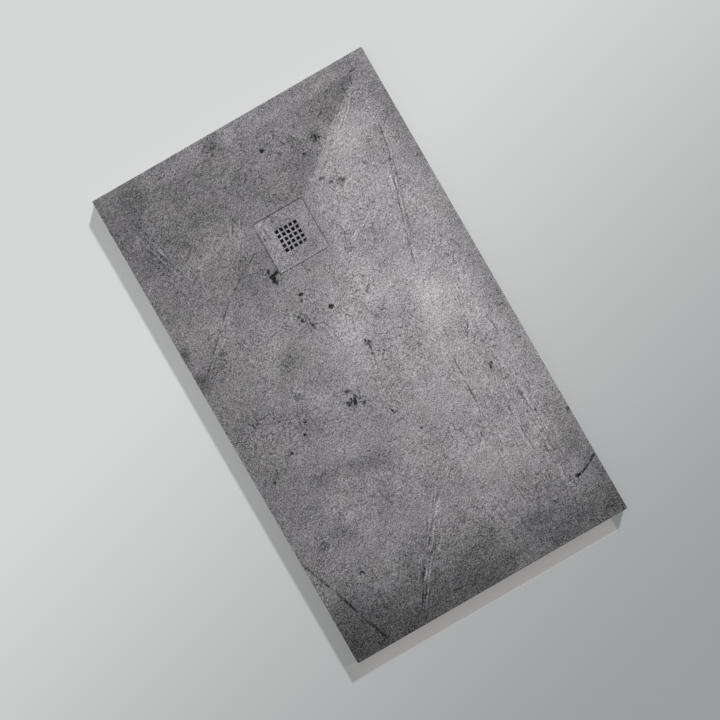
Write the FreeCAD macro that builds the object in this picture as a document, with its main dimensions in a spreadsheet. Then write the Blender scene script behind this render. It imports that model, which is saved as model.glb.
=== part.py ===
"""Extra-flat shower tray, 1200 x 700 mm, with its 90 mm waste and trap.

Frame: millimetres, +Z up. The origin is the centre of the slab's underside, +Y runs along the length
towards the waste and X runs across. The waste's own pieces are drawn about local Z, the axis of the waste
hole, and are carried along Y by their Placement.
"""
import FreeCAD
import Part
import Sketcher
import math
import os

# name, value, meaning. Lengths are millimetres and angles are degrees.
SIZES = [
    # slab
    ("slab_length", 1200.0, "outside length of the slab, along Y"),
    ("slab_width", 700.0, "outside width of the slab, along X"),
    ("slab_height", 30.0, "height of the rim above the underside"),
    ("slab_corner", 2.0, "radius of the upright corners"),
    ("slab_arris", 1.2, "chamfer of the top edge"),
    ("rim_width", 50.0, "flat rim around the falls"),
    ("fall_depth", 12.0, "drop of the floor from the rim to the waste"),
    ("waste_offset", 310.0, "waste axis from the middle of the slab"),
    ("waste_hole", 45.0, "radius of the hole for the waste"),
    ("seal_seat_gap", 2.0, "seat in the underside wider than the trap's flange, on the radius"),
    ("seal_seat_depth", 1.0, "depth of that seat"),
    # cover
    ("cover_side", 127.0, "side of the square cover"),
    ("cover_thick", 6.0, "thickness of the cover"),
    ("cover_corner", 8.0, "corner radius of the cover"),
    ("cover_arris", 0.6, "chamfer of the cover's top edge"),
    ("cover_gap", 1.0, "joint between cover and slab"),
    ("grid_count", 5, "square holes in a row"),
    ("grid_pitch", 11.8, "distance from hole to hole"),
    ("grid_hole", 8.0, "side of one square hole"),
    ("grid_relief", 2.0, "depth of the hollow behind the holes"),
    ("relief_margin", 4.0, "hollow beyond the outer holes"),
    ("relief_corner", 3.0, "corner radius of the hollow"),
    ("pad_radius", 5.0, "radius of one cover pad"),
    ("pad_inset", 11.5, "pad centre from the cover's side"),
    ("pad_proud", 1.0, "pad below the cover"),
    ("pad_sunk", 1.2, "pad inside its socket"),
    ("socket_gap", 0.1, "socket wider than its pad, on the radius"),
    # clamping flange, gaskets and screws
    ("flange_lap", 12.0, "flange beyond the waste hole"),
    ("flange_thick", 2.5, "thickness of the flange plate"),
    ("flange_gap", 1.0, "slab recess wider than the flange, on the radius"),
    ("flange_arris", 0.5, "chamfer of the flange's top edge"),
    ("seat_inset", 7.2, "wall of the counterbore for the insert, inside the circle of screws"),
    ("seat_depth", 3.5, "depth of the counterbore"),
    ("seat_ledge", 2.2, "ledge around the flange's throat"),
    ("throat_depth", 17.0, "throat below the flange's top"),
    ("throat_wall", 2.0, "wall around throat and counterbore"),
    ("gasket_thick", 1.5, "thickness of the upper gasket"),
    ("gasket_step", 1.0, "bore of both gaskets wider than the waste hole, on the radius"),
    ("gasket_margin", 0.5, "flange beyond the upper gasket"),
    ("lower_gasket_thick", 2.0, "thickness of the lower gasket"),
    ("collar_margin", 1.0, "trap's flange beyond the lower gasket"),
    ("screw_count", 4, "flange screws"),
    ("screw_shank", 2.0, "radius of a screw's shank"),
    ("screw_head", 4.0, "radius of a screw's countersunk head"),
    ("screw_length", 20.0, "whole length of a screw"),
    ("screw_gap", 0.2, "hole wider than the shank, on the radius"),
    ("slot_width", 1.0, "width of the cross slot"),
    ("slot_reach", 2.3, "half length of the cross slot"),
    ("slot_depth", 1.3, "depth of the cross slot"),
    ("insert_radius", 3.0, "radius over the corners of a hexagonal threaded insert"),
    ("insert_length", 8.0, "length of a threaded insert"),
    ("insert_gap", 0.05, "thread clearance around the shank, and socket clearance around the insert"),
    # trap body
    ("bowl_gap", 1.0, "waste hole wider than the bowl, on the radius"),
    ("bowl_wall", 2.5, "wall of the bowl"),
    ("bowl_bevel", 6.0, "bevel of the bowl's foot"),
    ("bowl_lip_gap", 1.0, "bowl's lip below the slab's ledge"),
    ("collar_lap", 13.0, "trap's flange beyond the waste hole"),
    ("collar_thick", 4.0, "thickness of the trap's flange"),
    ("boss_inset", 4.5, "axis of a screw boss inside the bowl's outside"),
    ("boss_radius", 4.3, "radius of a screw boss"),
    ("boss_length", 20.0, "length of a screw boss"),
    ("boss_bore", 16.0, "depth of the hole in a boss"),
    ("gusset_count", 8, "gussets under the trap's flange"),
    ("gusset_thick", 2.4, "thickness of a gusset"),
    ("gusset_reach", 10.0, "legs of a gusset"),
    ("outlet_drop", 38.0, "outlet axis below the slab's underside"),
    ("outlet_bore", 19.5, "radius of the waterway through the neck"),
    ("outlet_sill", 0.5, "bowl's floor below the waterway"),
    ("outlet_start", 5.0, "start of the waterway inside the neck's root"),
    ("seat_taper", 9.0, "length of the ball's tapered seat in the threaded end"),
    ("neck_radius", 22.0, "outside radius of the neck"),
    ("thread_radius", 26.9, "outside radius of the threaded end"),
    ("thread_length", 15.0, "length of the threaded end"),
    ("thread_chamfer", 1.2, "lead-in of the threaded end"),
    # ball joint
    ("nut_clear", 6.0, "union nut beyond the trap's flange"),
    ("ball_radius", 24.0, "radius of the ball"),
    ("ball_gap", 0.45, "running gap around the ball"),
    ("seal_back", 9.0, "threaded end from the ball centre"),
    ("seal_width", 5.0, "width of the ball seal"),
    ("slip_front", 7.0, "nut's lip from the ball centre"),
    ("slip_width", 3.5, "width of the slip ring"),
    ("nut_wall", 4.8, "wall of the union nut"),
    ("nut_gap", 0.1, "thread clearance around the threaded end"),
    ("nut_lip", 3.0, "thickness of the nut's lip"),
    ("nut_mouth", 24.4, "radius of the nut's mouth"),
    ("nut_cover", 13.0, "threaded end held inside the nut"),
    ("grip_count", 12, "grip flutes around the nut"),
    ("grip_radius", 3.0, "radius of a grip flute"),
    ("grip_depth", 1.6, "depth of a grip flute"),
    ("pipe_radius", 20.0, "outside radius of the outlet pipe"),
    ("pipe_wall", 3.0, "wall of the outlet pipe"),
    ("pipe_reach", 60.0, "pipe's end from the ball centre"),
    ("pipe_chamfer", 1.5, "lead-in of the pipe's end"),
    # dip tube, its seal and the trap cup
    ("rim_gap", 0.3, "counterbore wider than the rims, on the radius"),
    ("dip_rim_thick", 1.5, "thickness of the dip tube's rim"),
    ("dip_head_gap", 0.5, "throat wider than the dip tube's head, on the radius"),
    ("dip_head_wall", 3.6, "wall of the dip tube's head"),
    ("dip_head_length", 14.0, "length of the head below its rim"),
    ("dip_cone_length", 7.0, "length of the cone below the head"),
    ("dip_annulus", 5.7, "way for the water between tube and cup"),
    ("dip_wall", 2.0, "wall of the tube"),
    ("dip_rise", 10.5, "tube's mouth above the cup's floor"),
    ("ring_section", 1.3, "radius of the sealing ring's section, over its corners"),
    ("ring_corners", 8, "corners of that section"),
    ("ring_gap", 0.3, "sealing ring from the throat"),
    ("ring_level", 6.0, "sealing ring below the dip tube's rim"),
    ("groove_gap", 0.1, "groove wider than the sealing ring"),
    ("cup_gap", 0.8, "throat wider than the trap cup, on the radius"),
    ("cup_wall", 1.6, "wall of the trap cup"),
    ("cup_drop", 8.0, "cup's top below the dip tube's head"),
    ("cup_rise", 1.5, "cup's foot above the bowl's floor"),
    ("cup_bevel", 3.0, "bevel of the cup's foot"),
    ("fin_count", 4, "fins that hold the cup on the dip tube"),
    ("fin_thick", 2.0, "thickness of a fin"),
    ("fin_gap", 0.2, "fin from the cup's wall"),
    ("fin_drop", 4.4, "fin's top below the cup's top"),
    ("lug_width", 6.0, "width of a bayonet lug"),
    ("lug_reach", 1.6, "lug inside the cup's wall"),
    ("lug_thick", 2.0, "thickness of a bayonet lug"),
    ("lug_gap", 0.3, "lug above its fin"),
    # hair strainer
    ("strainer_rim", 1.5, "thickness of the strainer's rim"),
    ("strainer_gap", 1.5, "dip tube's head wider than the basket, on the radius"),
    ("strainer_wall", 1.4, "wall of the basket"),
    ("strainer_rise", 0.5, "basket's foot above the dip tube's cone"),
    ("strainer_bevel", 2.0, "bevel of the basket's foot"),
    ("slit_count", 16, "slits around the basket"),
    ("slit_width", 3.0, "width of a slit"),
    ("slit_height", 7.0, "height of a slit"),
    ("slit_rise", 4.0, "slit above the basket's foot"),
    ("drop_count", 8, "round holes in the basket's floor"),
    ("drop_radius", 2.4, "radius of a floor hole"),
    ("drop_circle", 14.5, "radius of the circle of floor holes"),
    ("drop_centre", 4.5, "radius of the middle floor hole"),
    ("grip_bar", 4.0, "width of the strainer's lifting bar"),
]

# Levels above the slab's underside, top down.
BASIN = "(Sizes.slab_height - Sizes.fall_depth)"
COVER_SEAT = f"({BASIN} - Sizes.cover_thick - Sizes.pad_proud)"
LEDGE = f"({COVER_SEAT} - Sizes.flange_thick - Sizes.gasket_thick)"
INSERT_SEAT = f"({COVER_SEAT} - Sizes.seat_depth)"
DIP_TOP = f"({INSERT_SEAT} + Sizes.dip_rim_thick)"
HEAD_FOOT = f"({INSERT_SEAT} - Sizes.dip_head_length)"
STRAINER_FOOT = f"({HEAD_FOOT} + Sizes.strainer_rise)"
BOWL_LIP = f"({LEDGE} - Sizes.bowl_lip_gap)"
COLLAR = "(Sizes.seal_seat_depth - Sizes.lower_gasket_thick)"
CUP_TOP = f"({HEAD_FOOT} - Sizes.cup_drop)"
FIN_TOP = f"({CUP_TOP} - Sizes.fin_drop)"
OUTLET = "(-Sizes.outlet_drop)"
BOWL_FLOOR = "(-Sizes.outlet_drop - Sizes.outlet_bore - Sizes.outlet_sill)"
BOWL_FOOT = f"({BOWL_FLOOR} - Sizes.bowl_wall)"
CUP_FOOT = f"({BOWL_FLOOR} + Sizes.cup_rise)"
CUP_FLOOR = f"({CUP_FOOT} + Sizes.cup_wall)"

# Plan sizes of the cover and its recess.
HALF_RECESS = "(Sizes.cover_side / 2 + Sizes.cover_gap)"
HALF_HOLE = "(Sizes.grid_hole / 2)"
HALF_GRID = "(Sizes.grid_pitch * (Sizes.grid_count - 1) / 2)"

# Radii about the waste's axis, all of them worked out from the waste hole.
FLANGE_RADIUS = "(Sizes.waste_hole + Sizes.flange_lap)"
COLLAR_RADIUS = "(Sizes.waste_hole + Sizes.collar_lap)"
BOWL_RADIUS = "(Sizes.waste_hole - Sizes.bowl_gap)"
BOWL_BORE = f"({BOWL_RADIUS} - Sizes.bowl_wall)"
SCREW_CIRCLE = f"({BOWL_RADIUS} - Sizes.boss_inset)"
SEAT_RADIUS = f"({SCREW_CIRCLE} - Sizes.seat_inset)"
THROAT_RADIUS = f"({SEAT_RADIUS} - Sizes.seat_ledge)"
RIM_RADIUS = f"({SEAT_RADIUS} - Sizes.rim_gap)"
HEAD_RADIUS = f"({THROAT_RADIUS} - Sizes.dip_head_gap)"
HEAD_BORE = f"({HEAD_RADIUS} - Sizes.dip_head_wall)"
RING_CIRCLE = f"({THROAT_RADIUS} - Sizes.ring_gap - Sizes.ring_section)"
CUP_RADIUS = f"({THROAT_RADIUS} - Sizes.cup_gap)"
CUP_BORE = f"({CUP_RADIUS} - Sizes.cup_wall)"
DIP_RADIUS = f"({CUP_BORE} - Sizes.dip_annulus)"
BASKET_RADIUS = f"({HEAD_BORE} - Sizes.strainer_gap)"

# Radii about the outlet's axis, and the ball's distance from the waste's axis.
PIPE_BORE = "(Sizes.pipe_radius - Sizes.pipe_wall)"
NUT_BORE = "(Sizes.thread_radius + Sizes.nut_gap)"
NUT_RADIUS = f"({NUT_BORE} + Sizes.nut_wall)"
BALL_OFFSET = f"({COLLAR_RADIUS} + Sizes.nut_clear + Sizes.nut_cover + Sizes.seal_back)"

TINY = 1e-6
NEAR = 0.01

doc = FreeCAD.newDocument("shower_tray")


def make_sheet():
    """Write the driving dimensions into the sheet, one alias for each."""
    sheet = doc.addObject("Spreadsheet::Sheet", "Sizes")
    for row, (alias, value, meaning) in enumerate(SIZES, start=1):
        sheet.set(f"A{row}", meaning)
        sheet.set(f"B{row}", str(value))
        sheet.setAlias(f"B{row}", alias)
    doc.recompute()
    return sheet


sizes = make_sheet()


def number(expression):
    """Value of an expression on the sheet."""
    return float(sizes.evalExpression(str(expression)))


# ---------------------------------------------------------------- sketches and features

def place_on_waste(item):
    """Carry a piece to the axis of the waste hole."""
    item.setExpression("Placement.Base.y", "Sizes.waste_offset")


def place_on_outlet(item):
    """Carry a piece to the ball centre and lay its local Z along the outlet, towards +Y."""
    item.Placement = FreeCAD.Placement(FreeCAD.Vector(), FreeCAD.Rotation(FreeCAD.Vector(1, 0, 0), -90.0))
    item.setExpression("Placement.Base.y", f"Sizes.waste_offset + {BALL_OFFSET}")
    item.setExpression("Placement.Base.z", OUTLET)


def new_body(label, place=place_on_waste, several=False):
    """A body with its label, carried to where it belongs."""
    body = doc.addObject("PartDesign::Body", label)
    body.Label = label
    body.AllowCompound = several
    if place:
        place(body)
    return body


def origin_part(body, role):
    """Plane or axis of a body's own origin."""
    return next(part for part in body.Origin.OriginFeatures if part.Role == role)


def new_sketch(body, name, role="XY_Plane", level="0"):
    """Sketch on one of the body's origin planes, moved along the plane's normal by level."""
    sketch = body.newObject("Sketcher::SketchObject", name)
    sketch.AttachmentSupport = [(origin_part(body, role), "")]
    sketch.MapMode = "FlatFace"
    sketch.setExpression("AttachmentOffset.Base.z", level)
    return sketch


def pin_point(sketch, index, end, across, along):
    """Hold one point of a sketch at two expressions, measured from the sketch's origin."""
    for kind, expression in (("DistanceX", across), ("DistanceY", along)):
        made = Sketcher.Constraint(kind, -1, 1, index, end, number(expression))
        held = sketch.addConstraint(made)
        sketch.setExpression(f"Constraints[{held}]", str(expression))


def outline(sketch, points):
    """Closed straight-sided outline through points, each a pair of expressions."""
    places = [FreeCAD.Vector(number(across), number(along), 0) for across, along in points]
    first = sketch.GeometryCount
    count = len(places)
    for step in range(count):
        sketch.addGeometry(Part.LineSegment(places[step], places[(step + 1) % count]), False)
    for step in range(count):
        following = first + (step + 1) % count
        sketch.addConstraint(Sketcher.Constraint("Coincident", first + step, 2, following, 1))
    for step, (across, along) in enumerate(points):
        pin_point(sketch, first + step, 1, across, along)


def rectangle(sketch, half_x, half_y, centre_x="0", centre_y="0"):
    """Rectangle about a centre, from its half sides."""
    signs = ((-1, -1), (1, -1), (1, 1), (-1, 1))
    outline(sketch, [(f"{centre_x} + {sx} * {half_x}", f"{centre_y} + {sy} * {half_y}") for sx, sy in signs])


def rounded_square(sketch, half, corner, centre_y="0"):
    """Square about a centre, with an arc after each side."""
    flat = f"({half} - {corner})"
    low, high = f"({centre_y} - {half})", f"({centre_y} + {half})"
    near, far = f"({centre_y} - {flat})", f"({centre_y} + {flat})"
    sides = [((f"-{flat}", low), (flat, low)), ((half, near), (half, far)),
             ((flat, high), (f"-{flat}", high)), ((f"-{half}", far), (f"-{half}", near))]
    centres = [(flat, near), (flat, far), (f"-{flat}", far), (f"-{flat}", near)]
    size = number(corner)
    for step, (side, centre) in enumerate(zip(sides, centres)):
        ends = [FreeCAD.Vector(number(across), number(along), 0) for across, along in side]
        sketch.addGeometry(Part.LineSegment(*ends), False)
        middle = FreeCAD.Vector(number(centre[0]), number(centre[1]), 0)
        full = Part.Circle(middle, FreeCAD.Vector(0, 0, 1), size)
        start = math.pi / 2 * (step - 1)
        sketch.addGeometry(Part.ArcOfCircle(full, start, start + math.pi / 2), False)
        pin_point(sketch, 2 * step, 1, *side[0])
        pin_point(sketch, 2 * step, 2, *side[1])
    for arc in range(1, 8, 2):
        sketch.addConstraint(Sketcher.Constraint("Coincident", arc - 1, 2, arc, 1))
        sketch.addConstraint(Sketcher.Constraint("Coincident", arc, 2, (arc + 1) % 8, 1))
        held = sketch.addConstraint(Sketcher.Constraint("Radius", arc, size))
        sketch.setExpression(f"Constraints[{held}]", corner)


def circle(sketch, radius, across="0", along="0"):
    """Circle about a point given by two expressions."""
    middle = FreeCAD.Vector(number(across), number(along), 0)
    index = sketch.addGeometry(Part.Circle(middle, FreeCAD.Vector(0, 0, 1), number(radius)), False)
    pin_point(sketch, index, 3, across, along)
    held = sketch.addConstraint(Sketcher.Constraint("Radius", index, number(radius)))
    sketch.setExpression(f"Constraints[{held}]", str(radius))


def regular(radius, corners, across="0", along="0"):
    """Corners of a regular polygon with a flat at each side, as pairs of expressions."""
    turns = [(step + 0.5) * 360.0 / corners for step in range(corners)]
    return [(f"{across} + {radius} * cos({turn} deg)", f"{along} + {radius} * sin({turn} deg)")
            for turn in turns]


def axis_line(sketch, start, end):
    """Construction line that a profile turns about."""
    places = [FreeCAD.Vector(number(across), number(along), 0) for across, along in (start, end)]
    index = sketch.addGeometry(Part.LineSegment(*places), True)
    pin_point(sketch, index, 1, *start)
    pin_point(sketch, index, 2, *end)


def feature(body, kind, name, sketch, **expressions):
    """Sketch-based feature; it has to change the body's volume, or it missed the solid."""
    doc.recompute()
    before = body.Shape.Volume if body.Tip else 0.0
    made = body.newObject(f"PartDesign::{kind}", name)
    made.Profile = sketch
    for key, expression in expressions.items():
        if isinstance(expression, str):
            made.setExpression(key, expression)
        else:
            setattr(made, key, expression)
    doc.recompute()
    grows = kind in ("Pad", "Revolution")
    change = made.Shape.Volume - before
    if (change if grows else -change) < TINY:
        raise RuntimeError(f"{body.Label}.{name} changes nothing")
    return made


def turn(body, kind, name, points, role="XZ_Plane", axis=None):
    """Revolution or Groove of a straight-sided profile about local Z, or about a line in its plane."""
    sketch = new_sketch(body, f"{name}_profile", role)
    outline(sketch, points)
    if axis:
        axis_line(sketch, *axis)
    reference = (sketch, ["Axis0" if axis else "V_Axis"])
    return feature(body, kind, name, sketch, ReferenceAxis=reference, Angle=360.0)


def polar(body, originals, count, name):
    """Repeat features evenly about local Z."""
    made = body.newObject("PartDesign::PolarPattern", name)
    made.Originals = originals
    made.Axis = (origin_part(body, "Z_Axis"), [""])
    made.Angle = 360.0
    made.setExpression("Occurrences", count)
    body.Tip = made
    doc.recompute()
    return made


def edge_names(shape, wanted):
    """Names of the edges of a shape that a test picks."""
    return [f"Edge{index}" for index, edge in enumerate(shape.Edges, start=1) if wanted(edge)]


def level_edges(level):
    """Test for edges that lie wholly at one height."""
    height = number(level)
    return lambda edge: abs(edge.BoundBox.ZMin - height) < NEAR and abs(edge.BoundBox.ZMax - height) < NEAR


def ring_edges(level, radius):
    """Test for full circles about local Z at one height, with one radius."""
    size = number(radius)
    flat = level_edges(level)
    return lambda edge: flat(edge) and abs(edge.BoundBox.XMax - size) < NEAR and edge.isClosed()


def upright_edges(low, high):
    """Test for vertical straight edges between two heights."""
    bottom, top = number(low), number(high)

    def wanted(edge):
        box = edge.BoundBox
        upright = box.XLength < NEAR and box.YLength < NEAR
        return upright and abs(box.ZMin - bottom) < NEAR and abs(box.ZMax - top) < NEAR
    return wanted


def soften(body, kind, name, size, wanted):
    """Fillet or Chamfer of the edges that a test picks."""
    doc.recompute()
    base = body.Tip
    edges = edge_names(base.Shape, wanted)
    if not edges:
        raise RuntimeError(f"{body.Label}.{name} finds no edges")
    made = body.newObject(f"PartDesign::{kind}", name)
    made.Base = (base, edges)
    made.setExpression("Radius" if kind == "Fillet" else "Size", size)
    doc.recompute()
    return made


# ---------------------------------------------------------------- slab

def combine(body, kind, name, tool):
    """Cut another body out of this one, or keep what the two have in common."""
    made = body.newObject("PartDesign::Boolean", name)
    made.Type = kind
    made.setObjects([tool])
    doc.recompute()
    return made


def make_falls():
    """Hollow above the four falls, where a trough along the slab meets a trough across it."""
    trough = new_body("trough_along", place=None)
    section = new_sketch(trough, "section", "XZ_Plane")
    rim = "(Sizes.slab_width / 2 - Sizes.rim_width)"
    outline(section, [(f"-{HALF_RECESS}", BASIN), (HALF_RECESS, BASIN), (rim, "Sizes.slab_height"),
                      (f"-{rim}", "Sizes.slab_height")])
    feature(trough, "Pad", "trough", section, Length="Sizes.slab_length", Midplane=True)

    falls = new_body("falls", place=None)
    profile = new_sketch(falls, "profile", "YZ_Plane")
    rim = "(Sizes.slab_length / 2 - Sizes.rim_width)"
    outline(profile, [
        (f"Sizes.waste_offset - {HALF_RECESS}", BASIN), (f"Sizes.waste_offset + {HALF_RECESS}", BASIN),
        (rim, "Sizes.slab_height"), (f"-{rim}", "Sizes.slab_height")])
    feature(falls, "Pad", "trough", profile, Length="Sizes.slab_width", Midplane=True)
    combine(falls, "Common", "hopper", trough)
    return falls


def make_slab():
    """Cast slab: flat rim, four planes that fall to the square cover recess, and the waste hole."""
    body = new_body("tray_slab", place=None)
    plan = new_sketch(body, "plan")
    rectangle(plan, "Sizes.slab_width / 2", "Sizes.slab_length / 2")
    feature(body, "Pad", "blank", plan, Length="Sizes.slab_height")
    soften(body, "Fillet", "corners", "Sizes.slab_corner", upright_edges("0", "Sizes.slab_height"))
    soften(body, "Chamfer", "arris", "Sizes.slab_arris", level_edges("Sizes.slab_height"))

    combine(body, "Cut", "falls_cut", make_falls())

    recess = new_sketch(body, "recess", level=BASIN)
    rounded_square(recess, HALF_RECESS, "(Sizes.cover_corner + Sizes.cover_gap)", "Sizes.waste_offset")
    feature(body, "Pocket", "cover_recess", recess, Length="Sizes.cover_thick + Sizes.pad_proud")
    ledge = new_sketch(body, "ledge", level=COVER_SEAT)
    circle(ledge, f"{FLANGE_RADIUS} + Sizes.flange_gap", along="Sizes.waste_offset")
    feature(body, "Pocket", "flange_recess", ledge, Length="Sizes.flange_thick + Sizes.gasket_thick")
    hole = new_sketch(body, "hole", level=LEDGE)
    circle(hole, "Sizes.waste_hole", along="Sizes.waste_offset")
    feature(body, "Pocket", "waste_hole", hole, Length=LEDGE)
    seat = new_sketch(body, "seal_seat")
    circle(seat, f"{COLLAR_RADIUS} + Sizes.seal_seat_gap", along="Sizes.waste_offset")
    feature(body, "Pocket", "seal_seat_cut", seat, Length="Sizes.seal_seat_depth", Reversed=True)
    return body


# ---------------------------------------------------------------- cover

def pad_places():
    """Centres of the four cover pads, as pairs of expressions."""
    reach = "(Sizes.cover_side / 2 - Sizes.pad_inset)"
    return [(f"{sx} * {reach}", f"{sy} * {reach}") for sx in (-1, 1) for sy in (-1, 1)]


def make_cover():
    """Square cover in the slab's finish, with a grid of square holes and sockets for its pads."""
    body = new_body("waste_cover")
    foot = f"({COVER_SEAT} + Sizes.pad_proud)"
    plan = new_sketch(body, "plan", level=foot)
    rounded_square(plan, "(Sizes.cover_side / 2)", "Sizes.cover_corner")
    feature(body, "Pad", "plate", plan, Length="Sizes.cover_thick")
    soften(body, "Chamfer", "arris", "Sizes.cover_arris", level_edges(BASIN))

    hollow = new_sketch(body, "hollow", level=foot)
    half = f"({HALF_GRID} + {HALF_HOLE} + Sizes.relief_margin)"
    rounded_square(hollow, half, "Sizes.relief_corner")
    feature(body, "Pocket", "relief", hollow, Length="Sizes.grid_relief", Reversed=True)

    sockets = new_sketch(body, "sockets", level=foot)
    for across, along in pad_places():
        circle(sockets, "Sizes.pad_radius + Sizes.socket_gap", across, along)
    feature(body, "Pocket", "pad_sockets", sockets, Length="Sizes.pad_sunk", Reversed=True)

    corner = new_sketch(body, "corner_hole", level=BASIN)
    rectangle(corner, HALF_HOLE, HALF_HOLE, f"-{HALF_GRID}", f"-{HALF_GRID}")
    first = feature(body, "Pocket", "first_hole", corner, Length="Sizes.cover_thick")
    grid = body.newObject("PartDesign::LinearPattern", "grid")
    grid.Originals = [first]
    grid.Direction = (origin_part(body, "X_Axis"), [""])
    grid.Direction2 = (origin_part(body, "Y_Axis"), [""])
    grid.Mode = "Spacing"
    grid.Mode2 = "Spacing"
    for suffix in ("", "2"):
        grid.setExpression(f"Offset{suffix}", "Sizes.grid_pitch")
        grid.setExpression(f"Occurrences{suffix}", "Sizes.grid_count")
    body.Tip = grid
    return body


def make_pads():
    """Rubber pads that stop the cover from rattling on the recess's floor."""
    body = new_body("cover_pads", several=True)
    plan = new_sketch(body, "plan", level=COVER_SEAT)
    for across, along in pad_places():
        circle(plan, "Sizes.pad_radius", across, along)
    feature(body, "Pad", "discs", plan, Length="Sizes.pad_proud + Sizes.pad_sunk")
    return body


# ---------------------------------------------------------------- clamping flange, gaskets and screws

def make_flange():
    """Clamping flange: plate, stepped throat for the lift-out insert, and countersunk screw holes."""
    body = new_body("waste_flange")
    step = f"({SEAT_RADIUS} + Sizes.throat_wall)"
    under = f"({COVER_SEAT} - Sizes.flange_thick)"
    seat_foot = f"({INSERT_SEAT} - Sizes.throat_wall)"
    throat_foot = f"({COVER_SEAT} - Sizes.throat_depth)"
    throat_outer = f"({THROAT_RADIUS} + Sizes.throat_wall)"
    turn(body, "Revolution", "ring", [
        (step, under), (FLANGE_RADIUS, under), (FLANGE_RADIUS, COVER_SEAT), (SEAT_RADIUS, COVER_SEAT),
        (SEAT_RADIUS, INSERT_SEAT), (THROAT_RADIUS, INSERT_SEAT), (THROAT_RADIUS, throat_foot),
        (throat_outer, throat_foot), (throat_outer, seat_foot), (step, seat_foot)])
    soften(body, "Chamfer", "edge", "Sizes.flange_arris", ring_edges(COVER_SEAT, FLANGE_RADIUS))
    shank = "(Sizes.screw_shank + Sizes.screw_gap)"
    head = "(Sizes.screw_head + Sizes.screw_gap)"
    sink = f"({head} - {shank})"
    hole = turn(body, "Groove", "screw_hole", [
        (SCREW_CIRCLE, COVER_SEAT), (f"{SCREW_CIRCLE} + {head}", COVER_SEAT),
        (f"{SCREW_CIRCLE} + {shank}", f"{COVER_SEAT} - {sink}"), (f"{SCREW_CIRCLE} + {shank}", under),
        (SCREW_CIRCLE, under)], axis=((SCREW_CIRCLE, under), (SCREW_CIRCLE, COVER_SEAT)))
    polar(body, [hole], "Sizes.screw_count", "screw_holes")
    return body


def make_gasket(label, foot, thick, outer):
    """Flat ring gasket."""
    body = new_body(label)
    plan = new_sketch(body, "plan", level=foot)
    circle(plan, outer)
    circle(plan, "Sizes.waste_hole + Sizes.gasket_step")
    feature(body, "Pad", "ring", plan, Length=thick)
    return body


def make_screws():
    """Countersunk screws with a cross slot, one at each boss."""
    body = new_body("flange_screws", several=True)
    tip = f"({COVER_SEAT} - Sizes.screw_length)"
    neck = f"({COVER_SEAT} - (Sizes.screw_head - Sizes.screw_shank))"
    screw = turn(body, "Revolution", "screw", [
        (SCREW_CIRCLE, COVER_SEAT), (f"{SCREW_CIRCLE} + Sizes.screw_head", COVER_SEAT),
        (f"{SCREW_CIRCLE} + Sizes.screw_shank", neck), (f"{SCREW_CIRCLE} + Sizes.screw_shank", tip),
        (SCREW_CIRCLE, tip)], axis=((SCREW_CIRCLE, tip), (SCREW_CIRCLE, COVER_SEAT)))
    slots = []
    for name, half_x, half_y in (("slot_across", "Sizes.slot_reach", "Sizes.slot_width / 2"),
                                 ("slot_along", "Sizes.slot_width / 2", "Sizes.slot_reach")):
        sketch = new_sketch(body, f"{name}_plan", level=COVER_SEAT)
        rectangle(sketch, half_x, half_y, centre_x=SCREW_CIRCLE)
        slots.append(feature(body, "Pocket", name, sketch, Length="Sizes.slot_depth"))
    polar(body, [screw] + slots, "Sizes.screw_count", "screws")
    return body


def make_inserts():
    """Hexagonal threaded inserts in the trap's bosses."""
    body = new_body("screw_inserts", several=True)
    plan = new_sketch(body, "plan", level=f"{BOWL_LIP} - Sizes.insert_length")
    outline(plan, regular("Sizes.insert_radius", 6, across=SCREW_CIRCLE))
    circle(plan, "Sizes.screw_shank + Sizes.insert_gap", SCREW_CIRCLE)
    sleeve = feature(body, "Pad", "sleeve", plan, Length="Sizes.insert_length")
    polar(body, [sleeve], "Sizes.screw_count", "sleeves")
    return body


# ---------------------------------------------------------------- trap body and outlet

def around_ball(offset):
    """Radius that clears the ball by its gap, at an axial distance from the ball centre."""
    return f"sqrt((Sizes.ball_radius + Sizes.ball_gap)^2 - ({offset})^2)"


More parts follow.
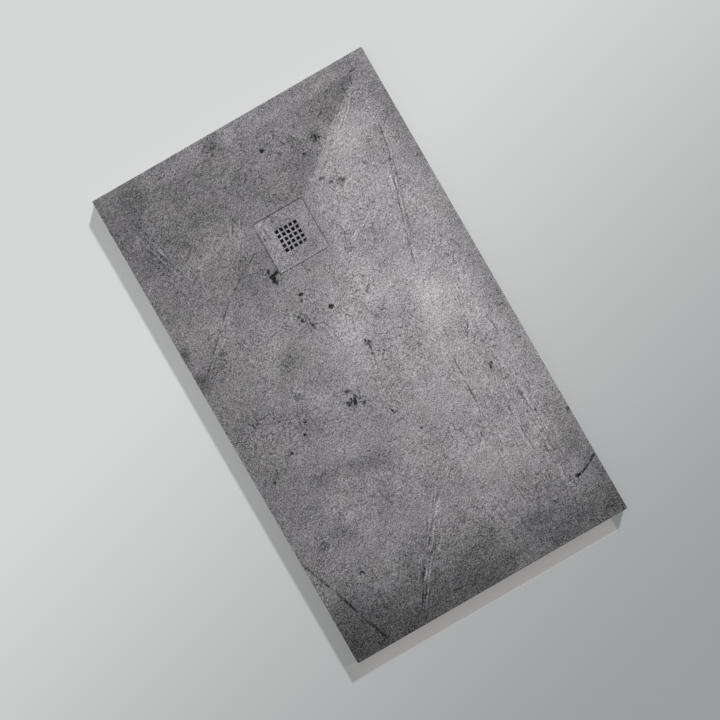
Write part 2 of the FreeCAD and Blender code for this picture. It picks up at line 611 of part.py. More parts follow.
def make_trap():
    """Moulded trap body: lip inside the waste hole, flange, bowl, screw bosses, gussets and outlet neck."""
    body = new_body("trap_body")
    collar_foot = f"({COLLAR} - Sizes.collar_thick)"
    turn(body, "Revolution", "bowl", [
        ("0", BOWL_FOOT), (BOWL_RADIUS, BOWL_FOOT), (BOWL_RADIUS, collar_foot), (COLLAR_RADIUS, collar_foot),
        (COLLAR_RADIUS, COLLAR), (BOWL_RADIUS, COLLAR), (BOWL_RADIUS, BOWL_LIP), (BOWL_BORE, BOWL_LIP),
        (BOWL_BORE, BOWL_FLOOR), ("0", BOWL_FLOOR)])
    soften(body, "Chamfer", "foot_bevel", "Sizes.bowl_bevel", ring_edges(BOWL_FOOT, BOWL_RADIUS))
    soften(body, "Chamfer", "floor_bevel", "Sizes.bowl_bevel - (2 - sqrt(2)) * Sizes.bowl_wall",
           ring_edges(BOWL_FLOOR, BOWL_BORE))

    boss = new_sketch(body, "boss_plan", level=f"{BOWL_LIP} - Sizes.boss_length")
    circle(boss, "Sizes.boss_radius", SCREW_CIRCLE)
    post = feature(body, "Pad", "boss", boss, Length="Sizes.boss_length")
    seat = new_sketch(body, "insert_plan", level=BOWL_LIP)
    outline(seat, regular("(Sizes.insert_radius + Sizes.insert_gap)", 6, across=SCREW_CIRCLE))
    socket = feature(body, "Pocket", "insert_socket", seat, Length="Sizes.insert_length")
    tail = new_sketch(body, "tail_plan", level=f"{BOWL_LIP} - Sizes.insert_length")
    circle(tail, "Sizes.screw_shank + Sizes.screw_gap", SCREW_CIRCLE)
    drill = feature(body, "Pocket", "screw_tail", tail, Length="Sizes.boss_bore - Sizes.insert_length")
    polar(body, [post, socket, drill], "Sizes.screw_count", "bosses")

    web = new_sketch(body, "gusset_profile", "XZ_Plane")
    root = f"({BOWL_RADIUS} - Sizes.bowl_wall / 2)"
    outline(web, [(root, collar_foot), (f"{BOWL_RADIUS} + Sizes.gusset_reach", collar_foot),
                  (root, f"{collar_foot} - Sizes.gusset_reach")])
    gusset = feature(body, "Pad", "gusset", web, Length="Sizes.gusset_thick", Midplane=True)
    polar(body, [gusset], "Sizes.gusset_count", "gussets")

    end = f"({BALL_OFFSET} - Sizes.seal_back)"
    start = f"sqrt({root}^2 - Sizes.neck_radius^2)"
    inside = f"({start} - Sizes.outlet_start)"
    step = f"({end} - Sizes.thread_length)"
    taper = f"({end} - Sizes.seat_taper)"
    thread = f"({OUTLET} + Sizes.thread_radius)"
    neck = f"({OUTLET} + Sizes.neck_radius)"
    bore = f"({OUTLET} + Sizes.outlet_bore)"
    turn(body, "Revolution", "neck", [
        (start, OUTLET), (end, OUTLET), (end, f"{thread} - Sizes.thread_chamfer"),
        (f"{end} - Sizes.thread_chamfer", thread), (step, thread), (step, neck), (start, neck)],
        role="YZ_Plane", axis=((start, OUTLET), (end, OUTLET)))
    turn(body, "Groove", "waterway", [
        (inside, OUTLET), (end, OUTLET), (end, f"{OUTLET} + {around_ball('Sizes.seal_back')}"),
        (taper, bore), (inside, bore)],
        role="YZ_Plane", axis=((inside, OUTLET), (end, OUTLET)))
    return body


def make_ball_ring(label, low, high):
    """Ring with a conical seat on the ball, from one axial level to another."""
    body = new_body(label, place_on_outlet)
    turn(body, "Revolution", "ring", [
        (around_ball(low), low), ("Sizes.thread_radius", low), ("Sizes.thread_radius", high),
        (around_ball(high), high)])
    return body


def make_nut():
    """Union nut: threaded bore, lip that holds the slip ring, and grip flutes."""
    body = new_body("union_nut", place_on_outlet)
    back = "(-Sizes.seal_back - Sizes.nut_cover)"
    lip = "Sizes.slip_front"
    front = "(Sizes.slip_front + Sizes.nut_lip)"
    turn(body, "Revolution", "shell", [
        (NUT_BORE, back), (NUT_RADIUS, back), (NUT_RADIUS, front), ("Sizes.nut_mouth", front),
        ("Sizes.nut_mouth", lip), (NUT_BORE, lip)])
    soften(body, "Chamfer", "front_edge", "Sizes.thread_chamfer", ring_edges(front, NUT_RADIUS))
    plan = new_sketch(body, "flute_plan", level=front)
    circle(plan, "Sizes.grip_radius", f"{NUT_RADIUS} + Sizes.grip_radius - Sizes.grip_depth")
    flute = feature(body, "Pocket", "flute", plan, Length=f"{front} - {back} - Sizes.nut_lip")
    polar(body, [flute], "Sizes.grip_count", "flutes")
    return body


def primitive(kind, name, level="0", **expressions):
    """Part primitive about local Z, raised to a level, with its sizes bound to the sheet."""
    made = doc.addObject(f"Part::{kind}", name)
    for key, expression in expressions.items():
        made.setExpression(key, expression)
    made.setExpression("Placement.Base.z", level)
    return made


def make_spigot():
    """Outlet pipe with its ball, both bored through."""
    straight = "Sizes.pipe_reach - Sizes.pipe_chamfer"
    solids = [
        primitive("Sphere", "ball", Radius="Sizes.ball_radius"),
        primitive("Cylinder", "pipe", Radius="Sizes.pipe_radius", Height=straight),
        primitive("Cone", "lead_in", level=straight, Radius1="Sizes.pipe_radius",
                  Radius2="Sizes.pipe_radius - Sizes.pipe_chamfer", Height="Sizes.pipe_chamfer"),
    ]
    joined = doc.addObject("Part::MultiFuse", "ball_and_pipe")
    joined.Shapes = solids
    bore = primitive("Cylinder", "pipe_bore", level="-Sizes.ball_radius", Radius=PIPE_BORE,
                     Height="Sizes.ball_radius + Sizes.pipe_reach")
    spigot = doc.addObject("Part::Cut", "outlet_spigot")
    spigot.Base = joined
    spigot.Tool = bore
    spigot.Label = "outlet_spigot"
    place_on_outlet(spigot)
    return spigot


# ---------------------------------------------------------------- lift-out insert

def make_dip_tube():
    """Dip tube: rim and grooved head that seal in the throat, cone, tube and fins that stand in the cup."""
    body = new_body("dip_tube")
    cone_foot = f"({HEAD_FOOT} - Sizes.dip_cone_length)"
    mouth = f"({CUP_FLOOR} + Sizes.dip_rise)"
    groove = f"({RING_CIRCLE} - Sizes.ring_section - Sizes.groove_gap)"
    ring_level = f"({DIP_TOP} - Sizes.ring_level)"
    half_groove = "(Sizes.ring_section + Sizes.groove_gap)"
    bore = f"({DIP_RADIUS} - Sizes.dip_wall)"
    turn(body, "Revolution", "tube", [
        (HEAD_BORE, DIP_TOP), (RIM_RADIUS, DIP_TOP), (RIM_RADIUS, INSERT_SEAT), (HEAD_RADIUS, INSERT_SEAT),
        (HEAD_RADIUS, f"{ring_level} + {half_groove}"), (groove, f"{ring_level} + {half_groove}"),
        (groove, f"{ring_level} - {half_groove}"), (HEAD_RADIUS, f"{ring_level} - {half_groove}"),
        (HEAD_RADIUS, HEAD_FOOT), (DIP_RADIUS, cone_foot), (DIP_RADIUS, mouth), (bore, mouth),
        (bore, cone_foot), (HEAD_BORE, HEAD_FOOT)])
    plan = new_sketch(body, "fin_plan", level=CUP_FLOOR)
    root = f"({DIP_RADIUS} - Sizes.dip_wall / 2)"
    reach = f"({CUP_BORE} - Sizes.fin_gap)"
    rectangle(plan, f"({reach} - {root}) / 2", "Sizes.fin_thick / 2", centre_x=f"({reach} + {root}) / 2")
    fin = feature(body, "Pad", "fin", plan, Length=f"{FIN_TOP} - {CUP_FLOOR}")
    polar(body, [fin], "Sizes.fin_count", "fins")
    return body


def make_ring():
    """Sealing ring in the dip tube's groove, its round section drawn with flats."""
    body = new_body("dip_tube_seal")
    section = regular("Sizes.ring_section", int(number("Sizes.ring_corners")), RING_CIRCLE,
                      f"{DIP_TOP} - Sizes.ring_level")
    turn(body, "Revolution", "ring", section)
    return body


def make_cup():
    """Trap cup that holds the water seal, with bayonet lugs above the dip tube's fins."""
    body = new_body("trap_cup")
    turn(body, "Revolution", "shell", [
        ("0", CUP_FOOT), (CUP_RADIUS, CUP_FOOT), (CUP_RADIUS, CUP_TOP), (CUP_BORE, CUP_TOP),
        (CUP_BORE, CUP_FLOOR), ("0", CUP_FLOOR)])
    soften(body, "Chamfer", "foot_bevel", "Sizes.cup_bevel", ring_edges(CUP_FOOT, CUP_RADIUS))
    plan = new_sketch(body, "lug_plan", level=f"{FIN_TOP} + Sizes.lug_gap")
    root = f"({CUP_BORE} + Sizes.cup_wall / 2)"
    reach = f"({CUP_BORE} - Sizes.lug_reach)"
    rectangle(plan, f"({root} - {reach}) / 2", "Sizes.lug_width / 2", centre_x=f"({root} + {reach}) / 2")
    lug = feature(body, "Pad", "lug", plan, Length="Sizes.lug_thick")
    polar(body, [lug], "Sizes.fin_count", "lugs")
    return body


def make_strainer():
    """Hair strainer: rim, slit basket, drilled floor and lifting bar."""
    body = new_body("hair_strainer")
    top = f"({DIP_TOP} + Sizes.strainer_rim)"
    inner = f"({BASKET_RADIUS} - Sizes.strainer_wall)"
    floor = f"({STRAINER_FOOT} + Sizes.strainer_wall)"
    turn(body, "Revolution", "basket", [
        ("0", STRAINER_FOOT), (BASKET_RADIUS, STRAINER_FOOT), (BASKET_RADIUS, DIP_TOP), (RIM_RADIUS, DIP_TOP),
        (RIM_RADIUS, top), (inner, top), (inner, floor), ("0", floor)])
    soften(body, "Chamfer", "foot_bevel", "Sizes.strainer_bevel", ring_edges(STRAINER_FOOT, BASKET_RADIUS))
    bar_plan = new_sketch(body, "bar_plan", level=DIP_TOP)
    rectangle(bar_plan, f"({BASKET_RADIUS} - Sizes.strainer_wall / 2)", "Sizes.grip_bar / 2")
    feature(body, "Pad", "bar", bar_plan, Length="Sizes.strainer_rim")
    middle = new_sketch(body, "middle_plan", level=floor)
    circle(middle, "Sizes.drop_centre")
    feature(body, "Pocket", "middle_hole", middle, Length="Sizes.strainer_wall")
    around = new_sketch(body, "drop_plan", level=floor)
    circle(around, "Sizes.drop_radius", "Sizes.drop_circle")
    drop = feature(body, "Pocket", "drop_hole", around, Length="Sizes.strainer_wall")
    polar(body, [drop], "Sizes.drop_count", "drop_holes")
    side = new_sketch(body, "slit_profile", "YZ_Plane")
    rectangle(side, "Sizes.slit_width / 2", "Sizes.slit_height / 2",
              centre_y=f"({STRAINER_FOOT} + Sizes.slit_rise + Sizes.slit_height / 2)")
    slit = feature(body, "Pocket", "slit", side, Length=BASKET_RADIUS, Reversed=True)
    polar(body, [slit], "Sizes.slit_count", "slits")
    return body


# ---------------------------------------------------------------- build, check and write

def make_pieces():
    """Every piece, from the slab inwards."""
    return [
        make_slab(),
        make_cover(),
        make_pads(),
        make_flange(),
        make_gasket("upper_gasket", LEDGE, "Sizes.gasket_thick", f"{FLANGE_RADIUS} - Sizes.gasket_margin"),
        make_gasket("lower_gasket", COLLAR, "Sizes.lower_gasket_thick",
                    f"{COLLAR_RADIUS} - Sizes.collar_margin"),
        make_screws(),
        make_inserts(),
        make_trap(),
        make_ball_ring("ball_seal", "(-Sizes.seal_back)", "(Sizes.seal_width - Sizes.seal_back)"),
        make_ball_ring("slip_ring", "(Sizes.slip_front - Sizes.slip_width)", "Sizes.slip_front"),
        make_nut(),
        make_spigot(),
        make_dip_tube(),
        make_ring(),
        make_cup(),
        make_strainer(),
    ]


def check(pieces):
    """Stop if any object failed or any piece has no sound solid."""
    for item in doc.Objects:
        if "Invalid" in item.State or "Error" in item.State:
            raise RuntimeError(f"{item.Name} failed: {item.State}")
    for piece in pieces:
        shape = piece.Shape
        if shape.isNull() or not shape.isValid() or not shape.Solids:
            raise RuntimeError(f"{piece.Label} has no valid solid")


def write(pieces):
    """Write each piece to a file named after it."""
    os.makedirs("parts", exist_ok=True)
    for piece in pieces:
        piece.Shape.exportStep(f"parts/{piece.Label}.step")
        box = piece.Shape.BoundBox
        spans = ((box.XMin, box.XMax), (box.YMin, box.YMax), (box.ZMin, box.ZMax))
        reach = " ".join(f"{axis} {low:.2f}..{high:.2f}" for axis, (low, high) in zip("xyz", spans))
        print(f"{piece.Label}: {len(piece.Shape.Solids)} solids, {piece.Shape.Volume:.1f} mm3, {reach}")


def main():
    """Build the tray with its waste, check it and write it out."""
    pieces = make_pieces()
    doc.recompute()
    check(pieces)
    write(pieces)


main()
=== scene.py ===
"""The looks of a stone-resin shower tray: its printed face, its pierced cover and its waste."""
import logging
import math
import random
from collections.abc import Callable
from dataclasses import dataclass
from enum import Enum

import bmesh
import bpy
from bmesh.types import BMEdge, BMesh, BMVert
from bpy.types import ColorRamp, Material, Node, NodeSocket, NodeTree, Object
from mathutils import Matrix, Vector, kdtree, noise


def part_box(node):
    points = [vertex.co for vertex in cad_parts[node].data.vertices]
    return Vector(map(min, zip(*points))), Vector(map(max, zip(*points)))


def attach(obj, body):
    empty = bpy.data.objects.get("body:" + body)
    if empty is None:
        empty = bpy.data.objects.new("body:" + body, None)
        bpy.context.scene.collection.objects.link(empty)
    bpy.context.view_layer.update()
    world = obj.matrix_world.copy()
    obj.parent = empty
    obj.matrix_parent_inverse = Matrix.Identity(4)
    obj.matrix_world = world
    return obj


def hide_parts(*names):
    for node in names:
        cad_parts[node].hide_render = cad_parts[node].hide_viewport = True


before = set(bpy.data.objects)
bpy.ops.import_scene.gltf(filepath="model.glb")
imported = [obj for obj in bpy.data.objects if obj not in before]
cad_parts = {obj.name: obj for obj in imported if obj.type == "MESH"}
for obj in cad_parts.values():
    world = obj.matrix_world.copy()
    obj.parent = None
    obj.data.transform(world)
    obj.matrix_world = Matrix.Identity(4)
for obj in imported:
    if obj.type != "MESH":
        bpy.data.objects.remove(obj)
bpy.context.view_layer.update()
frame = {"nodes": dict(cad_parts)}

MM = 0.001
LEVEL = 1 / 255
GAMMA = 2.2
WAVE_SCALE = 18
PEBBLE_SCALE = 120
BACKDROP = (213, 215, 214)
FLOOR_SHADES = ((0.0, BACKDROP), (0.093, (208, 210, 209)), (0.21, (201, 203, 202)), (0.42, (186, 188, 187)),
                (0.65, (169, 173, 174)), (0.77, (161, 165, 166)), (0.88, (156, 160, 161)),
                (1.0, (155, 159, 160)))
LOG = logging.getLogger("tray")
Colour = tuple[float, float, float, float]


def linear(levels: tuple[float, float, float]) -> Colour:
    """Turns a colour in display levels into the linear colour that a shader takes.

    Args:
        levels: Red, green and blue, each from 0 to 255.

    Returns:
        The linear colour with an alpha of 1.
    """
    parts = [level * LEVEL for level in levels]
    red, green, blue = (p / 12.92 if p <= 0.04045 else ((p + 0.055) / 1.055) ** 2.4 for p in parts)
    return red, green, blue, 1.0


def operator(operation: str, reflected: bool = False) -> Callable:
    """Makes a method that adds a Math node for one of Python's operators.

    Args:
        operation: The node's operation.
        reflected: Whether the other value stands first, as in 1 - mask.

    Returns:
        The method.
    """
    def method(self: "Wire", other: "Wire | float") -> "Wire":
        """Adds the node."""
        return self.maths(operation, other, self) if reflected else self.maths(operation, self, other)

    return method


class Wire:
    """A value on its way through a finish, with Python's arithmetic on it."""

    def __init__(self, recipe: "Recipe", socket: NodeSocket) -> None:
        """Keeps the socket that carries the value.

        Args:
            recipe: The finish that the socket belongs to.
            socket: The output socket.
        """
        self.recipe = recipe
        self.socket = socket

    def maths(self, operation: str, *values: "Wire | float") -> "Wire":
        """Adds one Math node.

        Args:
            operation: The node's operation.
            values: What its sockets take, in their order.

        Returns:
            The node's result.
        """
        made = self.recipe.node("ShaderNodeMath", {"operation": operation}, dict(enumerate(values)))
        return Wire(self.recipe, made.outputs[0])

    __add__, __radd__ = operator("ADD"), operator("ADD", True)
    __sub__, __rsub__ = operator("SUBTRACT"), operator("SUBTRACT", True)
    __mul__, __rmul__ = operator("MULTIPLY"), operator("MULTIPLY", True)
    __pow__, larger, smaller = operator("POWER"), operator("MAXIMUM"), operator("MINIMUM")

    def plus(self, other: "Wire", share: float) -> "Wire":
        """Adds a share of another value in one node."""
        return self.maths("MULTIPLY_ADD", other, share, self)

    def step(self, start: float, end: float) -> "Wire":
        """Rises smoothly from 0 to 1, or falls from 1 to 0 where the end is the smaller value.

        Args:
            start: The value that gives 0.
            end: The value that gives 1.

        Returns:
            The share, from 0 to 1.
        """
        low, high = sorted((start, end))
        goes = (0.0, 1.0) if start < end else (1.0, 0.0)
        sockets = {"Value": self, "From Min": low, "From Max": high, "To Min": goes[0], "To Max": goes[1]}
        made = self.recipe.node("ShaderNodeMapRange", {"interpolation_type": "SMOOTHSTEP"}, sockets)
        return Wire(self.recipe, made.outputs[0])


class Tree:
    """A tree of nodes, which all come from one method."""

    def __init__(self, tree: NodeTree) -> None:
        """Empties the tree.

        Args:
            tree: The tree of a material or of the sky.
        """
        self.tree = tree
        self.tree.nodes.clear()

    def node(self, kind: str, settings: dict | None = None, sockets: dict | None = None) -> Node:
        """Adds a node.

        Args:
            kind: The node's type.
            settings: Its properties, and a ramp's stops as (place, colour) pairs.
            sockets: The value or link of each socket, by name or number.

        Returns:
            The node.
        """
        made = self.tree.nodes.new(kind)
        for name, value in (settings or {}).items():
            if name == "stops":
                self.set_stops(made.color_ramp, value)
            else:
                setattr(made, name, value)
        for name, value in (sockets or {}).items():
            if isinstance(value, Wire):
                self.tree.links.new(value.socket, made.inputs[name])
            elif isinstance(value, NodeSocket):
                self.tree.links.new(value, made.inputs[name])
            else:
                made.inputs[name].default_value = value
        return made

    @staticmethod
    def set_stops(ramp: ColorRamp, stops: list) -> None:
        """Gives a ramp its stops.

        Args:
            ramp: The ramp.
            stops: Pairs of a place and a colour.
        """
        while len(ramp.elements) < len(stops):
            ramp.elements.new(1.0)
        for element, (place, colour) in zip(ramp.elements, stops):
            element.position = place
            element.color = colour


class Recipe(Tree):
    """The nodes of one finish, around a Principled shader."""

    def __init__(self, name: str) -> None:
        """Starts the material.

        Args:
            name: The material's name.
        """
        self.material = bpy.data.materials.new(name)
        self.material.use_nodes = True
        super().__init__(self.material.node_tree)
        self.shader = self.node("ShaderNodeBsdfPrincipled")
        self.node("ShaderNodeOutputMaterial", {}, {"Surface": self.shader.outputs[0]})
        self.coordinates = self.node("ShaderNodeTexCoord")
        self.place = Wire(self, self.coordinates.outputs["Object"])

    def wire(self, kind: str, settings: dict, sockets: dict, output: int | str = 0) -> Wire:
        """Adds a node and takes one of its outputs."""
        return Wire(self, self.node(kind, settings, sockets).outputs[output])

    def vector(self, operation: str, *values: object, output: int = 0) -> Wire:
        """Adds a Vector Math node."""
        return self.wire("ShaderNodeVectorMath", {"operation": operation}, dict(enumerate(values)), output)

    def parts(self, place: Wire | NodeSocket) -> list[Wire]:
        """Parts coordinates into X, Y and Z."""
        made = self.node("ShaderNodeSeparateXYZ", {}, {0: place})
        return [Wire(self, output) for output in made.outputs]

    def turned(self, place: Wire, degrees: float, stretch: tuple[float, float, float]) -> Wire:
        """Turns the pattern's coordinates about Z, then stretches them."""
        sockets = {"Vector": place, "Rotation": (0, 0, math.radians(degrees))}
        return self.vector("MULTIPLY", self.wire("ShaderNodeMapping", {}, sockets), stretch)

    def cloud(self, place: Wire, scale: float, detail: float, rough: float = 0.5) -> Wire:
        """Adds fractal noise about zero, from -1 to 1.

        Args:
            place: The coordinates.
            scale: How fine it is, in features to a metre.
            detail: How many finer layers it has.
            rough: How strong the finer layers are.

        Returns:
            The noise.
        """
        settings = {"noise_dimensions": "3D", "normalize": False}
        sockets = {"Vector": place, "Scale": scale, "Detail": detail, "Roughness": rough}
        return self.wire("ShaderNodeTexNoise", settings, sockets)

    def warped(self, place: Wire, scale: float, reach: float, detail: float = 2.0) -> Wire:
        """Moves the coordinates about by noise.

        Args:
            place: The coordinates.
            scale: How fine the noise is.
            reach: How far it moves them, in metres.
            detail: The noise's detail.

        Returns:
            The moved coordinates.
        """
        sockets = {"Vector": place, "Scale": scale, "Detail": detail}
        swirl = self.node("ShaderNodeTexNoise", {}, sockets).outputs["Color"]
        centred = self.vector("SUBTRACT", swirl, (0.5, 0.5, 0.5))
        return self.vector("MULTIPLY_ADD", centred, (2 * reach, 2 * reach, 0.0), place)

    def mix(self, factor: Wire | float, first: object, second: object) -> Wire:
        """Mixes two colours."""
        sockets = {0: factor, 6: first, 7: second}
        return self.wire("ShaderNodeMix", {"data_type": "RGBA"}, sockets, 2)

    def bump(self, height: Wire, distance: float) -> Wire:
        """Turns a height into a bumped normal, where a height of 1 stands for the distance in metres."""
        return self.wire("ShaderNodeBump", {}, {"Height": height, "Distance": distance})

    def set(self, **values: object) -> None:
        """Sets or links the shader's sockets.

        Args:
            values: What each socket takes, with _ for a space in its name.
        """
        for name, value in values.items():
            socket = self.shader.inputs[name.replace("_", " ").title().replace("Ior", "IOR")]
            if isinstance(value, Wire):
                self.tree.links.new(value.socket, socket)
            else:
                socket.default_value = value


@dataclass(frozen=True)
class Mark:
    """One mark of the print: a patch, spot, stroke or band.

    Places and sizes are in mm on the face, across from its left side and down from its head.
    """

    across: float
    down: float
    long: float
    wide: float
    tone: float = 1.0
    turn: float = 0.0
    sharp: float = 1.0
    depth: float = 0.0

    @property
    def middle(self) -> Vector:
        """The mark's middle in the tray's frame, in metres."""
        return on_face(self.across, self.down)


def on_face(across: float, down: float) -> Vector:
    """Turns a place on the face, in mm from its upper left corner, into the tray's frame."""
    high = TRAY_BOX[1]
    return Vector((across * MM - high.x, high.y - down * MM, 0.0))


def stroke(ends: tuple[float, float, float, float], wide: float, tone: float, depth: float = 0.0) -> Mark:
    """Makes a tapered stroke from its two ends.

    Args:
        ends: Across and down of the one end, then of the other, in mm.
        wide: Half its width in mm.
        tone: The display levels that it adds.
        depth: How deep it is cut, in mm.

    Returns:
        The stroke as a mark.
    """
    across, down, to_across, to_down = ends
    run, rise = to_across - across, down - to_down
    half = math.hypot(run, rise) / 2
    return Mark((across + to_across) / 2, (down + to_down) / 2, half + 1.5 * wide, 1.5 * wide, 1.3 * tone,
                turn=math.degrees(math.atan2(rise, run)), sharp=2.0, depth=depth)


def crack(points: list[tuple[float, float]], wide: float, tone: float, depth: float = 0.0) -> list[Mark]:
    """Makes a crack of several strokes, end to end."""
    return [stroke((*start, *end), wide, tone, depth) for start, end in zip(points, points[1:])]


def splash(across: float, down: float, reach: float, count: int, tone: float, seed: int) -> list[Mark]:
    """Makes a splash of spots about a place, larger and darker near its middle.

    Args:
        across: Across from the face's left side, in mm.
        down: Down from its head, in mm.
        reach: How far the spots lie from the middle, in mm.
        count: How many spots there are.
        tone: The display levels that the middle spot adds.
        seed: Fixes the places of the spots.

    Returns:
        The spots.
    """
    dice = random.Random(seed)
    spots = [Mark(across, down, 0.5 * reach, 0.36 * reach, tone, dice.uniform(0, 180), 2.0, 0.3)]
    for _ in range(count - 1):
        angle, out = dice.uniform(0, math.tau), reach * dice.uniform(0.35, 1.0)
        size = reach * dice.uniform(0.16, 0.34)
        place = (across + out * math.cos(angle), down + out * math.sin(angle))
        paler = tone * dice.uniform(0.5, 0.95)
        spots.append(Mark(*place, 1.3 * size, 0.8 * size, paler, math.degrees(angle), 2.0))
    return spots


def by_hand(*rows: tuple[float, ...]) -> tuple[Mark, ...]:
    """Makes marks from rows of values, in the order of a mark's fields."""
    return tuple(Mark(*row) for row in rows)


def many(make: Callable[..., list[Mark]], *rows: tuple) -> tuple[Mark, ...]:
    """Makes the marks of many splashes or cracks, with one row of values for each."""
    return tuple(mark for row in rows for mark in make(*row))


@dataclass(frozen=True)
class Scratches:
    """A band of fine parallel scratches, light and dark."""

    band: Mark
    pitch: float


TRAY_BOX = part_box("tray_slab")
COVER_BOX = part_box("waste_cover")
WASTE = Vector((0.0, (COVER_BOX[0].y + COVER_BOX[1].y) / 2, 0.0))

PATCHES = by_hand(
    (560, 560, 150, 110, 29, 90), (340, 550, 140, 85, 25, 90), (430, 70, 190, 95, 20),
    (395, 480, 190, 100, 12, 90), (630, 345, 120, 90, 11), (585, 700, 140, 90, 9), (340, 620, 90, 90, 5),
    (560, 540, 90, 90, 7), (50, 25, 90, 60, -6), (250, 250, 90, 70, -6), (660, 990, 110, 60, -6, 90),
    (435, 165, 120, 40, 7), (655, 480, 270, 75, 15, 90), (410, 520, 160, 100, 16, 90),
    (180, 320, 120, 110, -12), (660, 1000, 120, 65, -17, 90), (150, 930, 150, 60, -7),
    (490, 470, 90, 70, 14), (545, 240, 190, 120, 20, 75), (575, 145, 75, 50, 16),
    (640, 600, 120, 45, 8, 90), (40, 50, 90, 70, -8), (230, 25, 60, 25, 8), (130, 232, 50, 35, 8),
    (200, 450, 70, 60, 6), (260, 650, 80, 60, 8), (330, 880, 90, 60, 8), (150, 900, 60, 50, 5),
    (490, 950, 120, 70, -8), (400, 700, 110, 80, 5), (180, 165, 90, 45, -10, 20), (220, 330, 60, 80, -12),
    (208, 545, 44, 60, -18), (180, 806, 75, 30, -21, -12), (262, 830, 70, 32, -19, -10),
    (480, 190, 130, 60, -6), (610, 55, 60, 20, -10), (680, 170, 30, 40, -8), (298, 26, 30, 38, -27, 90),
    (430, 1165, 60, 26, -8), (515, 1122, 50, 24, -8), (50, 1130, 110, 90, -5), (310, 1140, 45, 75, -8, -20),
    (640, 1160, 80, 60, -6), (7, 402, 18, 26, -38), (9, 478, 22, 26, -38), (22, 620, 26, 36, -12),
    (122, 936, 30, 34, -18), (60, 90, 70, 26, -10, -80), (110, 480, 40, 60, -6), (330, 492, 24, 20, -10),
    (245, 540, 26, 24, -10), (285, 460, 30, 60, -8),
)

SPOTS = many(
    splash,
    (266, 350, 17, 12, -104, 5), (381, 586, 13, 9, -98, 8), (289, 686, 17, 10, -98, 11),
    (277, 468, 12, 5, -96, 13), (167, 670, 10, 4, -92, 19), (107, 716, 13, 6, -84, 23),
    (598, 764, 11, 5, -84, 29), (110, 1027, 10, 5, -88, 31), (509, 124, 12, 8, -62, 37),
    (478, 80, 10, 5, -46, 41), (505, 236, 20, 9, -36, 47), (290, 30, 20, 8, -30, 53),
    (425, 545, 22, 7, -30, 59), (180, 610, 16, 7, -34, 61),
) + by_hand(
    (304, 415, 7.4, 5, -118, -12, 2.4), (297, 411, 4, 3, -80), (118, 640, 3.6, 3.2, -62, 0, 2),
    (153, 695, 3.8, 3.4, -66, 0, 2), (207, 656, 3.4, 3.2, -52, 0, 2), (40, 724, 4.4, 3.4, -48),
    (42, 754, 4.4, 3.4, -52), (352, 748, 3.6, 5.2, -60, 0, 2), (390, 811, 4, 3.2, -56, 0, 2),
    (213, 362, 9.6, 7.2, -36), (297, 429, 5, 6.2, -60, 0, 2), (349, 473, 8.5, 7, -120, 0, 2, 0.4),
    (293, 492, 7.2, 9.6, -65), (393, 483, 6, 4.8, -42), (305, 508, 4.8, 4.8, -49),
    (377, 611, 5, 5, -72, 0, 2), (449, 609, 4.8, 3.6, -49), (184, 618, 9.6, 8.4, -42),
    (225, 600, 4.8, 4.8, -42), (225, 627, 4.8, 4.8, -42), (284, 658, 7.5, 6.2, -69, 0, 2),
    (275, 686, 8.8, 6.2, -70, 0, 2), (306, 698, 7.5, 5, -67, 0, 2), (282, 694, 12, 7, -47),
    (152, 694, 4.8, 3.6, -65), (118, 684, 10.8, 4.8, -29), (40, 755, 6, 6, -65), (18, 748, 4.8, 4.8, -39),
    (681, 745, 4.8, 3.6, -58), (632, 905, 4.8, 4.8, -68), (378, 770, 4.8, 3.6, -55),
    (390, 812, 4.8, 3.6, -65), (351, 745, 3.6, 7.2, -55), (697, 938, 6.2, 6.2, -60, 0, 2),
    (680, 930, 4.8, 3.6, -55), (640, 1080, 7.5, 4.4, -80, 0, 2, 0.3), (567, 1108, 6, 6, -65),
    (389, 92, 6.5, 6.5, -110, 60, 2, 0.4), (369, 80, 3.6, 3.6, -72), (425, 46, 4.8, 3.6, -49),
    (428, 70, 3.6, 10.8, -42), (505, 122, 7.2, 10.8, -49), (515, 125, 3.6, 10.8, -52),
    (468, 146, 7.5, 5, -62, 0, 2), (433, 142, 3.6, 3.6, -49), (455, 104, 16.8, 7.2, -26),
    (476, 212, 8.8, 5, -57, 0, 2), (434, 247, 4.8, 6, -49), (515, 238, 10.8, 8.4, -32),
    (605, 192, 8.4, 3.6, -49), (288, 43, 4.8, 4.8, -49), (308, 42, 4.8, 4.8, -46), (100, 88, 6, 4.8, -49),
    (112, 88, 4.8, 3.6, -42), (13, 97, 4.8, 4.8, -49), (150, 228, 6, 4.8, -49), (222, 284, 6, 4.8, -55),
    (175, 160, 24, 14.4, -16), (255, 155, 19.2, 14.4, -16), (98, 571, 3.6, 3.6, -39),
    (168, 545, 3.6, 3.6, -39), (450, 1135, 4.8, 3.6, -42), (12, 1127, 4.8, 4.8, -49),
    (355, 1078, 14.4, 6, -29), (245, 925, 4.8, 3.6, -32), (60, 600, 7.2, 6, -32), (148, 960, 6, 4.8, -42),
)

